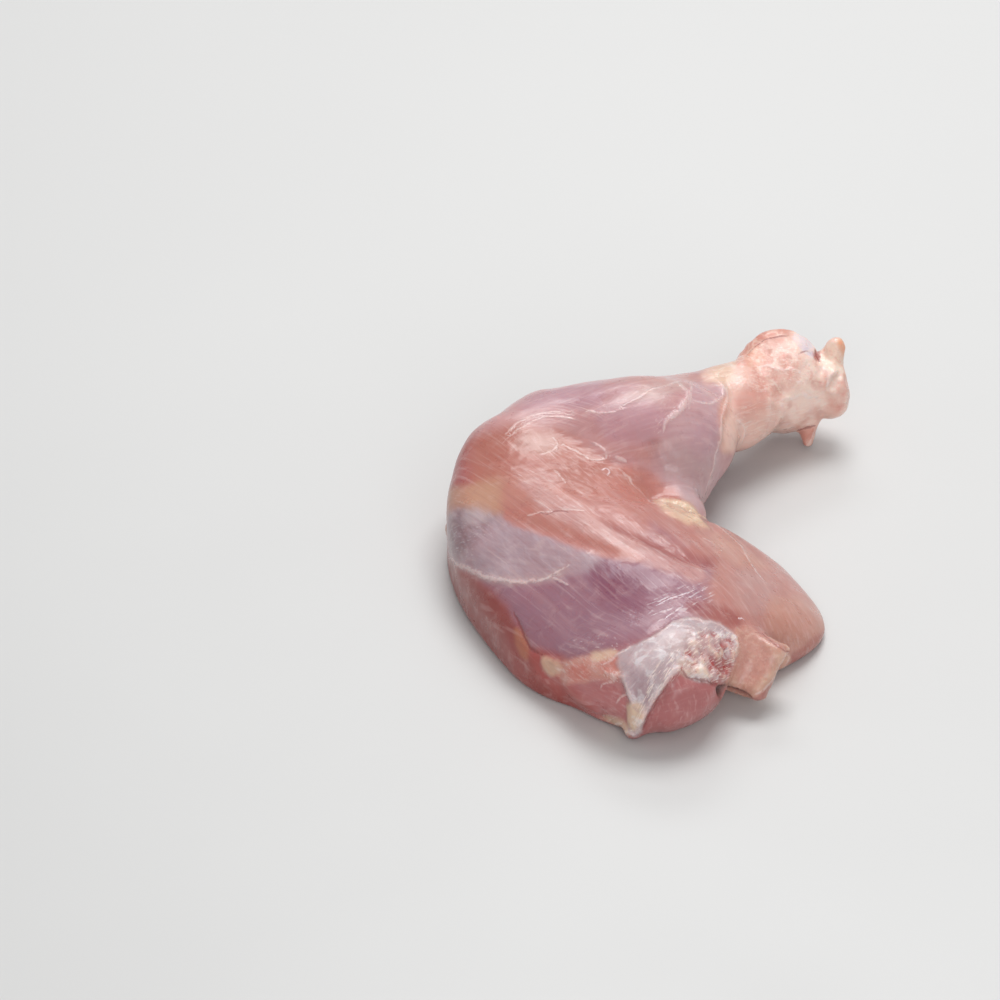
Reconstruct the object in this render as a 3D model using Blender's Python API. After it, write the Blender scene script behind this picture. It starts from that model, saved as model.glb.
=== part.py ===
"""Raw skinless chicken leg quarter: thigh and drumstick in one piece, lying flat.

The flesh is described by its muscles. Each muscle is a distance field made from
named sizes, the fields are blended where the muscles grow together, and the
zero surface of the blend is meshed. +Z is up, the leg lies on z = 0, the origin
is under the middle of its bounding box. The hock points to +X +Y and the hip
end to -Y.
"""
import bpy
import bmesh
import numpy as np

for _o in list(bpy.data.objects):
    bpy.data.objects.remove(_o, do_unlink=True)

# ------------------------------------------------------------------ sizes
# Lengths are in units of the drawing. One unit is 0.9 mm on the real leg.
UNIT = 0.0009                       # metres per drawing unit

CELL = 2.4                          # spacing of the sampling grid
TRIANGLES = 9700                    # triangles kept, before the underside is made plain

# knee joint, where the thigh's own axes start
KNEE_X, KNEE_Y = -38.0, 21.0
THIGH_AXIS = (0.43, -0.903)         # from the knee towards the hip
THIGH_SIDE = (0.903, 0.43)          # from the outer side towards the inner side

# drumstick
SHIN_START = (-31, 28, 23)
SHIN_END = (31, 52, 21)
SHIN_RADIUS_KNEE, SHIN_RADIUS_SHANK = 20.0, 14.5
CALF_CENTRE, CALF_RADII, CALF_YAW = (-5, 26, 22.5), (38, 23, 25.5), 14
CALF_LOBE_CENTRE, CALF_LOBE_RADII, CALF_LOBE_YAW = (9, 20, 18), (14, 15.5, 20.5), 30

# shank and hock
SHANK_START, SHANK_END = (31, 54, 22), (42, 62, 22)
SHANK_RADIUS, SHANK_RADIUS_HOCK = 12.5, 13.0
HOCK_CENTRE, HOCK_RADII, HOCK_YAW = (50, 68, 20), (16, 15, 17), 20
HOCK_BUMP_CENTRE, HOCK_BUMP_RADII, HOCK_BUMP_YAW = (47.5, 74, 29), (11.5, 8, 9), 12
PRONG_BASE, PRONG_TIP = (64, 71, 22), (69, 75, 32)
PRONG_RADIUS_BASE, PRONG_RADIUS_TIP = 6.5, 3.0
HOCK_LOBE_CENTRE, HOCK_LOBE_RADII, HOCK_LOBE_YAW = (66, 66, 19), (7, 8, 10), 20
LOOSE_TIP_TOP, LOOSE_TIP_END = (58.5, 62.5, 9), (58.5, 60, 2.2)
LOOSE_TIP_RADIUS_TOP, LOOSE_TIP_RADIUS_END = 4.5, 2.0

# knee
KNEE_CENTRE, KNEE_RADII, KNEE_YAW = (-41, 18, 20), (20, 19, 21), 10
WEB_CENTRE, WEB_RADII, WEB_YAW = (-18, 4, 15.5), (23, 17, 17.5), 10
PIT_FAT_CENTRE, PIT_FAT_RADII, PIT_FAT_YAW = (8.5, 0.5, 14), (12, 8, 8), -25

# thigh, a slab with its crest over the bone
THIGH_MIDDLE = 78.0                 # along the thigh axis, from the knee
OUTER_HALF_WIDTH, INNER_HALF_WIDTH = 50.5, 62.5
KNEE_LENGTH_OUTER, KNEE_LENGTH_INNER = 93.0, 40.0
HIP_LENGTH_OUTER, HIP_LENGTH_INNER = 47.0, 48.0
CREST_HEIGHT = 38.0
OUTER_FALL, OUTER_FALL_WIDTH, OUTER_FALL_POWER = 23.0, 44.0, 1.3
INNER_FALL, INNER_FALL_WIDTH, INNER_FALL_POWER = 30.0, 52.0, 1.25
OUTER_ROUNDING, INNER_ROUNDING = 9.5, 13.0
INNER_EDGE_LIFT = 6.0               # the thin inner edge lifts off the table
SUNK = 2.5                          # the slab reaches below the table, which cuts it flat

# hip end
HIP_INNER_CENTRE, HIP_INNER_RADII, HIP_INNER_YAW = (2, -98.5, 14.5), (21.5, 20, 16.5), -14
HIP_OUTER_ALONG, HIP_OUTER_ACROSS, HIP_OUTER_HEIGHT = 117.0, -23.0, 12.0
HIP_OUTER_RADII, HIP_OUTER_YAW = (22, 18, 14), -30
HOLLOW_CENTRE, HOLLOW_RADII = (25.5, -98, 2), (7.5, 12, 8)
HIP_FILL_CENTRE, HIP_FILL_RADII = (22, -83, 15), (10, 13, 9)
FAT_FLAP_CENTRE, FAT_FLAP_HALF_SIZES, FAT_FLAP_ROUNDING = (30.8, -89.6, 12.0), (10.6, 10.2, 3.6), 3.4
FAT_FLAP_YAW, FAT_FLAP_ROLL = -38, 42
MEMBRANE_TOP, MEMBRANE_FOOT = (12, -98, 27), (-8, -114, 3)
MEMBRANE_RADIUS_TOP, MEMBRANE_RADIUS_FOOT = 3.5, 2.2

# blend widths where muscles grow together
BLEND_WIDE, BLEND_MUSCLE, BLEND_SMALL, BLEND_FINE = 9.0, 6.0, 4.0, 3.0
TABLE_ROUNDING = 2.0

# the box that is sampled
LOW = np.array([-84.0, -126.0, -4.8])
HIGH = np.array([84.0, 96.0, 55.2])

FLESH_COLOUR = (0.62, 0.36, 0.33, 1.0)
FLESH_ROUGHNESS = 0.38


# ------------------------------------------------------------------ fields
def turn(yaw, pitch=0.0, roll=0.0):
    a, b, c = np.radians([yaw, pitch, roll])
    about_z = np.array([[np.cos(a), -np.sin(a), 0], [np.sin(a), np.cos(a), 0], [0, 0, 1]])
    about_y = np.array([[np.cos(b), 0, np.sin(b)], [0, 1, 0], [-np.sin(b), 0, np.cos(b)]])
    about_x = np.array([[1, 0, 0], [0, np.cos(c), -np.sin(c)], [0, np.sin(c), np.cos(c)]])
    return about_z @ about_y @ about_x


def ellipsoid(p, centre, radii, yaw=0.0, pitch=0.0, roll=0.0):
    q = (p - np.array(centre, float)) @ turn(yaw, pitch, roll)
    r = np.array(radii, float)
    k0 = np.sqrt(((q / r) ** 2).sum(-1))
    k1 = np.sqrt(((q / r ** 2) ** 2).sum(-1)) + 1e-9
    return k0 * (k0 - 1.0) / k1


def slab_of_fat(p, centre, half_sizes, rounding, yaw, roll):
    q = np.abs((p - np.array(centre, float)) @ turn(yaw, 0.0, roll)) - (np.array(half_sizes, float) - rounding)
    outside = np.sqrt((np.maximum(q, 0.0) ** 2).sum(-1))
    return outside + np.minimum(q.max(-1), 0.0) - rounding


def tapered_rod(p, start, end, radius_start, radius_end):
    a, b = np.array(start, float), np.array(end, float)
    d = b - a
    q = p - a
    t = np.clip((q @ d) / (d @ d), 0.0, 1.0)
    v = q - t[..., None] * d
    return np.sqrt((v * v).sum(-1)) - (radius_start + (radius_end - radius_start) * t)


def join(a, b, width):
    h = np.clip(0.5 + 0.5 * (b - a) / width, 0.0, 1.0)
    return b + (a - b) * h - width * h * (1.0 - h)


def meet(a, b, width):
    return -join(-a, -b, width)


def ramp(start, end, x):
    t = np.clip((x - start) / (end - start), 0.0, 1.0)
    return t * t * (3.0 - 2.0 * t)


def thigh_axes(p):
    rx, ry = p[..., 0] - KNEE_X, p[..., 1] - KNEE_Y
    along = rx * THIGH_AXIS[0] + ry * THIGH_AXIS[1]
    across = rx * THIGH_SIDE[0] + ry * THIGH_SIDE[1]
    return along, across


def thigh_point(along, across, height):
    return (KNEE_X + along * THIGH_AXIS[0] + across * THIGH_SIDE[0],
            KNEE_Y + along * THIGH_AXIS[1] + across * THIGH_SIDE[1], height)


def thigh_slab(p):
    along, across = thigh_axes(p)
    inner = ramp(-20.0, 30.0, across)
    towards_knee = along < THIGH_MIDDLE
    knee_length = KNEE_LENGTH_OUTER * (1 - inner) + KNEE_LENGTH_INNER * inner
    hip_length = HIP_LENGTH_OUTER * (1 - inner) + HIP_LENGTH_INNER * inner
    length = np.where(towards_knee, knee_length, hip_length)
    half_width = np.where(across < 0, OUTER_HALF_WIDTH, INNER_HALF_WIDTH)
    power = 2.4 * (1 - inner) + np.where(towards_knee, 1.7, 3.4) * inner
    ratio = ((np.abs(along - THIGH_MIDDLE) / length) ** power
             + (np.abs(across) / half_width) ** power) ** (1.0 / power)
    reach = np.hypot(along - THIGH_MIDDLE, across)
    plan = (ratio - 1.0) * reach / np.maximum(ratio, 1e-3) * 0.9
    # the crest runs from the knee to the hip, a little askew
    off = across - (-6.0 + 0.10 * (along - 45.0))
    away = np.sqrt(off * off + 100.0) - 10.0
    height = CREST_HEIGHT - np.where(
        off < 0,
        OUTER_FALL * (away / OUTER_FALL_WIDTH) ** OUTER_FALL_POWER,
        INNER_FALL * (away / INNER_FALL_WIDTH) ** INNER_FALL_POWER)
    height = height - 9.5 * (np.maximum(along - 45.0, 0.0) / 80.0) ** 2
    height = height - 4.0 * (np.maximum(45.0 - along, 0.0) / 60.0) ** 2
    height = height - 4.0 * ramp(66.0, 38.0, along) * inner
    rounding = OUTER_ROUNDING * (1 - inner) + INNER_ROUNDING * inner
    slab = meet(plan, (p[..., 2] - height) * 0.88, rounding)
    lift = INNER_EDGE_LIFT * np.clip((plan + 9.0) / 9.0, 0.0, 1.6) ** 2 * ramp(5.0, 40.0, across)
    return meet(slab, lift - SUNK - p[..., 2], BLEND_FINE)


def hock(p):
    body = ellipsoid(p, HOCK_CENTRE, HOCK_RADII, HOCK_YAW)
    body = join(body, ellipsoid(p, HOCK_BUMP_CENTRE, HOCK_BUMP_RADII, HOCK_BUMP_YAW), 5.0)
    body = join(body, tapered_rod(p, PRONG_BASE, PRONG_TIP, PRONG_RADIUS_BASE, PRONG_RADIUS_TIP), BLEND_FINE)
    body = join(body, ellipsoid(p, HOCK_LOBE_CENTRE, HOCK_LOBE_RADII, HOCK_LOBE_YAW), BLEND_SMALL)
    return join(body, tapered_rod(p, LOOSE_TIP_TOP, LOOSE_TIP_END,
                                  LOOSE_TIP_RADIUS_TOP, LOOSE_TIP_RADIUS_END), 2.0)


def drumstick(p):
    d = tapered_rod(p, SHIN_START, SHIN_END, SHIN_RADIUS_KNEE, SHIN_RADIUS_SHANK)
    d = join(d, ellipsoid(p, CALF_CENTRE, CALF_RADII, CALF_YAW), BLEND_MUSCLE)
    d = join(d, ellipsoid(p, CALF_LOBE_CENTRE, CALF_LOBE_RADII, CALF_LOBE_YAW), 5.0)
    d = join(d, tapered_rod(p, SHANK_START, SHANK_END, SHANK_RADIUS, SHANK_RADIUS_HOCK), BLEND_MUSCLE)
    return join(d, hock(p), 5.0)


def thigh(p):
    t = thigh_slab(p)
    t = join(t, ellipsoid(p, HIP_INNER_CENTRE, HIP_INNER_RADII, HIP_INNER_YAW), 14.0)
    t = join(t, ellipsoid(p, thigh_point(HIP_OUTER_ALONG, HIP_OUTER_ACROSS, HIP_OUTER_HEIGHT),
                          HIP_OUTER_RADII, HIP_OUTER_YAW), 7.0)
    t = join(t, ellipsoid(p, HIP_FILL_CENTRE, HIP_FILL_RADII), BLEND_MUSCLE)
    t = meet(t, -ellipsoid(p, HOLLOW_CENTRE, HOLLOW_RADII), BLEND_FINE)
    return join(t, slab_of_fat(p, FAT_FLAP_CENTRE, FAT_FLAP_HALF_SIZES, FAT_FLAP_ROUNDING,
                               FAT_FLAP_YAW, FAT_FLAP_ROLL), 5.5)


def leg(p):
    f = join(drumstick(p), ellipsoid(p, KNEE_CENTRE, KNEE_RADII, KNEE_YAW), 8.0)
    f = join(f, ellipsoid(p, WEB_CENTRE, WEB_RADII, WEB_YAW), 10.0)
    f = join(f, thigh(p), BLEND_WIDE)
    f = join(f, ellipsoid(p, PIT_FAT_CENTRE, PIT_FAT_RADII, PIT_FAT_YAW), 9.0)
    f = join(f, tapered_rod(p, MEMBRANE_TOP, MEMBRANE_FOOT, MEMBRANE_RADIUS_TOP, MEMBRANE_RADIUS_FOOT), 5.0)
    return meet(f, -p[..., 2], TABLE_ROUNDING)


# ------------------------------------------------------------------ meshing
def close_slits(value, cell):
    """Where two folds of the surface would share a grid face, the slit between
    them is closed, so the solid never touches itself along an edge."""
    for _ in range(12):
        changed = 0
        for a, b in ((0, 1), (0, 2), (1, 2)):
            views = {}
            for i in (0, 1):
                for j in (0, 1):
                    s = [slice(None)] * 3
                    s[a] = slice(0, -1) if i == 0 else slice(1, None)
                    s[b] = slice(0, -1) if j == 0 else slice(1, None)
                    views[(i, j)] = value[tuple(s)]
            w = {k: v < 0 for k, v in views.items()}
            crossed = (w[(0, 0)] == w[(1, 1)]) & (w[(0, 1)] == w[(1, 0)]) & (w[(0, 0)] != w[(0, 1)])
            for at in np.argwhere(crossed):
                at = tuple(at)
                outside = [k for k in views if views[k][at] >= 0]
                if len(outside) == 2:
                    nearest = min(outside, key=lambda k: views[k][at])
                    views[nearest][at] = -0.05 * cell
                    changed += 1
        if not changed:
            break
    return value


def zero_surface(field, low, high, cell):
    """One vertex in each grid cell that the surface crosses, one quad across
    each grid edge that it crosses."""
    count = np.ceil((high - low) / cell).astype(int) + 1
    axes = [low[i] + cell * np.arange(count[i]) for i in range(3)]
    grid = np.stack(np.meshgrid(*axes, indexing="ij"), -1)
    value = close_slits(field(grid), cell)
    inside = value < 0
    cells = tuple(count - 1)
    total = np.zeros(cells + (3,))
    hits = np.zeros(cells)
    edges = []
    for axis in range(3):
        a = [slice(None)] * 3
        b = [slice(None)] * 3
        a[axis], b[axis] = slice(0, -1), slice(1, None)
        va, vb = value[tuple(a)], value[tuple(b)]
        crossing = inside[tuple(a)] != inside[tuple(b)]
        t = np.where(crossing, va / np.where(crossing, va - vb, 1.0), 0.0)
        point = np.zeros(crossing.shape + (3,))
        index = np.indices(crossing.shape)
        for k in range(3):
            point[..., k] = index[k] + (t if k == axis else 0.0)
        others = [k for k in range(3) if k != axis]
        for i in (0, 1):
            for j in (0, 1):
                take = [slice(None)] * 3
                for k, shift in zip(others, (i, j)):
                    take[k] = slice(0, -1) if shift == 0 else slice(1, None)
                take = tuple(take)
                total += np.where(crossing[take][..., None], point[take], 0.0)
                hits += crossing[take]
        edges.append((axis, others, crossing, inside[tuple(a)]))
    used = hits > 0
    number = np.full(cells, -1)
    number[used] = np.arange(used.sum())
    points = low + cell * (total[used] / hits[used][:, None])
    quads = []
    for axis, others, crossing, starts_inside in edges:
        at = np.argwhere(crossing)
        keep = np.ones(len(at), bool)
        for k in others:
            keep &= (at[:, k] > 0) & (at[:, k] < count[k] - 1)
        at = at[keep]
        corner = []
        for i, j in ((-1, -1), (0, -1), (0, 0), (-1, 0)):
            c = at.copy()
            c[:, others[0]] += i
            c[:, others[1]] += j
            corner.append(number[c[:, 0], c[:, 1], c[:, 2]])
        quad = np.stack(corner, 1)
        outward = starts_inside[at[:, 0], at[:, 1], at[:, 2]]
        if axis == 1:
            outward = ~outward
        quad[~outward] = quad[~outward][:, ::-1]
        quads.append(quad)
    return points, np.concatenate(quads)


def slope(field, points, step=0.25):
    g = np.zeros_like(points)
    for k in range(3):
        d = np.zeros(3)
        d[k] = step
        g[:, k] = (field(points + d) - field(points - d)) / (2 * step)
    return g


def settle(field, points, quads, rounds):
    """Evens out the grid's steps, then puts each vertex back on the surface."""
    pairs = np.concatenate([np.stack([quads[:, i], quads[:, (i + 1) % 4]], 1) for i in range(4)])
    flat = points[:, 2] < 0.02
    for _ in range(rounds):
        total = np.zeros_like(points)
        near = np.zeros(len(points))
        for a, b in ((0, 1), (1, 0)):
            np.add.at(total, pairs[:, a], points[pairs[:, b]])
            np.add.at(near, pairs[:, a], 1.0)
        points = points + 0.5 * (total / near[:, None] - points)
        for _ in range(2):
            g = slope(field, points)
            points = points - g * (field(points) / np.maximum((g * g).sum(1), 0.2))[:, None]
        points[flat, 2] = 0.0
        points[:, 2] = np.maximum(points[:, 2], 0.0)
    return points


# ------------------------------------------------------------------ the piece
def make_material(name, colour, roughness):
    m = bpy.data.materials.new(name)
    m.use_nodes = True
    shader = m.node_tree.nodes["Principled BSDF"]
    shader.inputs["Base Color"].default_value = colour
    shader.inputs["Roughness"].default_value = roughness
    shader.inputs["Metallic"].default_value = 0.0
    m.diffuse_color = colour
    return m


def plain_underside(mesh):
    """The flat face that the leg lies on is cut into a few large triangles."""
    bm = bmesh.new()
    bm.from_mesh(mesh)
    flat = {f for f in bm.faces if all(v.co.z == 0.0 for v in f.verts)}
    inner = [v for v in {v for f in flat for v in f.verts} if all(f in flat for f in v.link_faces)]
    bmesh.ops.dissolve_verts(bm, verts=inner)
    bmesh.ops.dissolve_faces(bm, faces=[f for f in bm.faces if all(v.co.z == 0.0 for v in f.verts)])
    bmesh.ops.triangulate(bm, faces=[f for f in bm.faces if len(f.verts) > 3],
                          quad_method="BEAUTY", ngon_method="BEAUTY")
    bm.to_mesh(mesh)
    bm.free()
    mesh.shade_smooth()


def make_leg():
    points, quads = zero_surface(leg, LOW, HIGH, CELL)
    points = settle(leg, points, quads, 3)
    middle = (points.min(0) + points.max(0)) / 2.0
    points[:, 0] -= middle[0]
    points[:, 1] -= middle[1]
    bm = bmesh.new()
    verts = [bm.verts.new(tuple(float(c) * UNIT for c in p)) for p in points]
    for q in quads:
        bm.faces.new([verts[int(i)] for i in q])
    bmesh.ops.triangulate(bm, faces=bm.faces[:], quad_method="SHORT_EDGE")
    bmesh.ops.recalc_face_normals(bm, faces=bm.faces[:])
    count = len(bm.faces)
    mesh = bpy.data.meshes.new("leg_quarter")
    bm.to_mesh(mesh)
    bm.free()
    mesh.shade_smooth()
    piece = bpy.data.objects.new("leg_quarter", mesh)
    bpy.context.scene.collection.objects.link(piece)
    thin = piece.modifiers.new("fewer_triangles", "DECIMATE")
    thin.decimate_type = "COLLAPSE"
    thin.ratio = min(1.0, TRIANGLES / count)
    state = bpy.context.evaluated_depsgraph_get()
    thinned = bpy.data.meshes.new_from_object(piece.evaluated_get(state))
    piece.modifiers.remove(thin)
    piece.data = thinned
    for v in thinned.vertices:          # the face it lies on stays flat
        if v.co.z < 0.1 * UNIT:
            v.co.z = 0.0
    plain_underside(thinned)
    thinned.materials.clear()
    thinned.materials.append(make_material("raw_chicken", FLESH_COLOUR, FLESH_ROUGHNESS))
    print("drawing's middle", middle.round(3), "triangles", count, "thinned to", len(thinned.polygons))
    return piece


make_leg()
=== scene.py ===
import math
import bpy
import numpy as np
from mathutils import Vector, Matrix
from mathutils.bvhtree import BVHTree
from mathutils.kdtree import KDTree


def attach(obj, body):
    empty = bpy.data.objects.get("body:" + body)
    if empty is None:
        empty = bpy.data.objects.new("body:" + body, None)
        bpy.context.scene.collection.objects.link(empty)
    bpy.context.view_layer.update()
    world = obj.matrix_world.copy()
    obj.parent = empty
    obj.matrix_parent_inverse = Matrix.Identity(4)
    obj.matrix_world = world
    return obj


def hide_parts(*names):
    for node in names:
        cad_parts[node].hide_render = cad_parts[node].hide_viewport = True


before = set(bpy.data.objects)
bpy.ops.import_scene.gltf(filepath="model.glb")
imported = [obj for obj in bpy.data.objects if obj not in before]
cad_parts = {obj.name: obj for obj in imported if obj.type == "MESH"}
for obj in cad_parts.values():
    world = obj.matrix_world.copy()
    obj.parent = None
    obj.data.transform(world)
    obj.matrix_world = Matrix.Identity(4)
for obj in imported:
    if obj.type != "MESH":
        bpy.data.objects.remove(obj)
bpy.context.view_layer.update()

scene = bpy.context.scene

# The leg is described in drawing units, 0.9 mm each on the real leg, in a drawing
# whose zero lies MIDDLE away from the middle of the finished piece.
UNIT = 0.0009
MIDDLE = np.array([2.203, -17.653, 0.0])
CELL = 1.62

# ------------------------------------------------------------------ the muscles
# knee joint, where the thigh's own axes start
KNEE_X, KNEE_Y = -38.0, 21.0
THIGH_AXIS = (0.43, -0.903)         # from the knee towards the hip
THIGH_SIDE = (0.903, 0.43)          # from the outer side towards the inner side

# drumstick
SHIN_START = (-31, 28, 23)
SHIN_END = (31, 52, 21)
SHIN_RADIUS_KNEE, SHIN_RADIUS_SHANK = 20.0, 14.5
CALF_CENTRE, CALF_RADII, CALF_YAW = (-5, 26, 22.5), (38, 23, 25.5), 14
CALF_LOBE_CENTRE, CALF_LOBE_RADII, CALF_LOBE_YAW = (9, 20, 18), (14, 15.5, 20.5), 30

# shank and hock
SHANK_START, SHANK_END = (31, 54, 22), (42, 62, 22)
SHANK_RADIUS, SHANK_RADIUS_HOCK = 12.5, 13.0
HOCK_CENTRE, HOCK_RADII, HOCK_YAW = (50, 68, 20), (16, 15, 17), 20
HOCK_BUMP_CENTRE, HOCK_BUMP_RADII, HOCK_BUMP_YAW = (47.5, 74, 29), (11.5, 8, 9), 12
PRONG_BASE, PRONG_TIP = (64, 71, 22), (69, 75, 32)
PRONG_RADIUS_BASE, PRONG_RADIUS_TIP = 6.5, 3.0
HOCK_LOBE_CENTRE, HOCK_LOBE_RADII, HOCK_LOBE_YAW = (66, 66, 19), (7, 8, 10), 20
LOOSE_TIP_TOP, LOOSE_TIP_END = (58.5, 62.5, 9), (58.5, 60, 2.2)
LOOSE_TIP_RADIUS_TOP, LOOSE_TIP_RADIUS_END = 4.5, 2.0

# knee
KNEE_CENTRE, KNEE_RADII, KNEE_YAW = (-41, 18, 20), (20, 19, 21), 10
WEB_CENTRE, WEB_RADII, WEB_YAW = (-18, 4, 15.5), (23, 17, 17.5), 10
PIT_FAT_CENTRE, PIT_FAT_RADII, PIT_FAT_YAW = (8.5, 0.5, 14), (12, 8, 8), -25

# thigh, a slab with its crest over the bone
THIGH_MIDDLE = 78.0                 # along the thigh axis, from the knee
OUTER_HALF_WIDTH, INNER_HALF_WIDTH = 50.5, 62.5
KNEE_LENGTH_OUTER, KNEE_LENGTH_INNER = 93.0, 40.0
HIP_LENGTH_OUTER, HIP_LENGTH_INNER = 47.0, 48.0
CREST_HEIGHT = 38.0
OUTER_FALL, OUTER_FALL_WIDTH, OUTER_FALL_POWER = 23.0, 44.0, 1.3
INNER_FALL, INNER_FALL_WIDTH, INNER_FALL_POWER = 30.0, 52.0, 1.25
OUTER_ROUNDING, INNER_ROUNDING = 9.5, 13.0
INNER_EDGE_LIFT = 6.0               # the thin inner edge lifts off the table
SUNK = 2.5                          # the slab reaches below the table, which cuts it flat

# hip end
HIP_INNER_CENTRE, HIP_INNER_RADII, HIP_INNER_YAW = (2, -98.5, 14.5), (21.5, 20, 16.5), -14
HIP_OUTER_ALONG, HIP_OUTER_ACROSS, HIP_OUTER_HEIGHT = 117.0, -23.0, 12.0
HIP_OUTER_RADII, HIP_OUTER_YAW = (22, 18, 14), -30
HOLLOW_CENTRE, HOLLOW_RADII = (25.5, -98, 2), (7.5, 12, 8)
HIP_FILL_CENTRE, HIP_FILL_RADII = (22, -83, 15), (10, 13, 9)
FAT_FLAP_CENTRE, FAT_FLAP_HALF_SIZES, FAT_FLAP_ROUNDING = (30.8, -89.6, 12.0), (10.6, 10.2, 3.6), 3.4
FAT_FLAP_YAW, FAT_FLAP_ROLL = -38, 42
MEMBRANE_TOP, MEMBRANE_FOOT = (12, -98, 27), (-8, -114, 3)
MEMBRANE_RADIUS_TOP, MEMBRANE_RADIUS_FOOT = 3.5, 2.2

# blend widths where muscles grow together
BLEND_WIDE, BLEND_MUSCLE, BLEND_SMALL, BLEND_FINE = 9.0, 6.0, 4.0, 3.0
TABLE_ROUNDING = 2.0

# the box that is sampled
LOW = np.array([-84.0, -126.0, -4.8])
HIGH = np.array([84.0, 96.0, 55.2])


def turn(yaw, pitch=0.0, roll=0.0):
    a, b, c = np.radians([yaw, pitch, roll])
    about_z = np.array([[np.cos(a), -np.sin(a), 0], [np.sin(a), np.cos(a), 0], [0, 0, 1]])
    about_y = np.array([[np.cos(b), 0, np.sin(b)], [0, 1, 0], [-np.sin(b), 0, np.cos(b)]])
    about_x = np.array([[1, 0, 0], [0, np.cos(c), -np.sin(c)], [0, np.sin(c), np.cos(c)]])
    return about_z @ about_y @ about_x


def ellipsoid(p, centre, radii, yaw=0.0, pitch=0.0, roll=0.0):
    q = (p - np.array(centre, float)) @ turn(yaw, pitch, roll)
    r = np.array(radii, float)
    k0 = np.sqrt(((q / r) ** 2).sum(-1))
    k1 = np.sqrt(((q / r ** 2) ** 2).sum(-1)) + 1e-9
    return k0 * (k0 - 1.0) / k1


def slab_of_fat(p, centre, half_sizes, rounding, yaw, roll):
    q = np.abs((p - np.array(centre, float)) @ turn(yaw, 0.0, roll)) - (np.array(half_sizes, float) - rounding)
    outside = np.sqrt((np.maximum(q, 0.0) ** 2).sum(-1))
    return outside + np.minimum(q.max(-1), 0.0) - rounding


def tapered_rod(p, start, end, radius_start, radius_end):
    a, b = np.array(start, float), np.array(end, float)
    d = b - a
    q = p - a
    t = np.clip((q @ d) / (d @ d), 0.0, 1.0)
    v = q - t[..., None] * d
    return np.sqrt((v * v).sum(-1)) - (radius_start + (radius_end - radius_start) * t)


def join(a, b, width):
    h = np.clip(0.5 + 0.5 * (b - a) / width, 0.0, 1.0)
    return b + (a - b) * h - width * h * (1.0 - h)


def meet(a, b, width):
    return -join(-a, -b, width)


def ramp(start, end, x):
    t = np.clip((x - start) / (end - start), 0.0, 1.0)
    return t * t * (3.0 - 2.0 * t)


def thigh_axes(p):
    rx, ry = p[..., 0] - KNEE_X, p[..., 1] - KNEE_Y
    along = rx * THIGH_AXIS[0] + ry * THIGH_AXIS[1]
    across = rx * THIGH_SIDE[0] + ry * THIGH_SIDE[1]
    return along, across


def thigh_point(along, across, height):
    return (KNEE_X + along * THIGH_AXIS[0] + across * THIGH_SIDE[0],
            KNEE_Y + along * THIGH_AXIS[1] + across * THIGH_SIDE[1], height)


def thigh_slab(p):
    along, across = thigh_axes(p)
    inner = ramp(-20.0, 30.0, across)
    towards_knee = along < THIGH_MIDDLE
    knee_length = KNEE_LENGTH_OUTER * (1 - inner) + KNEE_LENGTH_INNER * inner
    hip_length = HIP_LENGTH_OUTER * (1 - inner) + HIP_LENGTH_INNER * inner
    length = np.where(towards_knee, knee_length, hip_length)
    half_width = np.where(across < 0, OUTER_HALF_WIDTH, INNER_HALF_WIDTH)
    power = 2.4 * (1 - inner) + np.where(towards_knee, 1.7, 3.4) * inner
    ratio = ((np.abs(along - THIGH_MIDDLE) / length) ** power
             + (np.abs(across) / half_width) ** power) ** (1.0 / power)
    reach = np.hypot(along - THIGH_MIDDLE, across)
    plan = (ratio - 1.0) * reach / np.maximum(ratio, 1e-3) * 0.9
    # the crest runs from the knee to the hip, a little askew
    off = across - (-6.0 + 0.10 * (along - 45.0))
    away = np.sqrt(off * off + 100.0) - 10.0
    height = CREST_HEIGHT - np.where(
        off < 0,
        OUTER_FALL * (away / OUTER_FALL_WIDTH) ** OUTER_FALL_POWER,
        INNER_FALL * (away / INNER_FALL_WIDTH) ** INNER_FALL_POWER)
    height = height - 9.5 * (np.maximum(along - 45.0, 0.0) / 80.0) ** 2
    height = height - 4.0 * (np.maximum(45.0 - along, 0.0) / 60.0) ** 2
    height = height - 4.0 * ramp(66.0, 38.0, along) * inner
    rounding = OUTER_ROUNDING * (1 - inner) + INNER_ROUNDING * inner
    slab = meet(plan, (p[..., 2] - height) * 0.88, rounding)
    lift = INNER_EDGE_LIFT * np.clip((plan + 9.0) / 9.0, 0.0, 1.6) ** 2 * ramp(5.0, 40.0, across)
    return meet(slab, lift - SUNK - p[..., 2], BLEND_FINE)


def hock(p):
    body = ellipsoid(p, HOCK_CENTRE, HOCK_RADII, HOCK_YAW)
    body = join(body, ellipsoid(p, HOCK_BUMP_CENTRE, HOCK_BUMP_RADII, HOCK_BUMP_YAW), 5.0)
    body = join(body, tapered_rod(p, PRONG_BASE, PRONG_TIP, PRONG_RADIUS_BASE, PRONG_RADIUS_TIP), BLEND_FINE)
    body = join(body, ellipsoid(p, HOCK_LOBE_CENTRE, HOCK_LOBE_RADII, HOCK_LOBE_YAW), BLEND_SMALL)
    return join(body, tapered_rod(p, LOOSE_TIP_TOP, LOOSE_TIP_END,
                                  LOOSE_TIP_RADIUS_TOP, LOOSE_TIP_RADIUS_END), 2.0)


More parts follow.
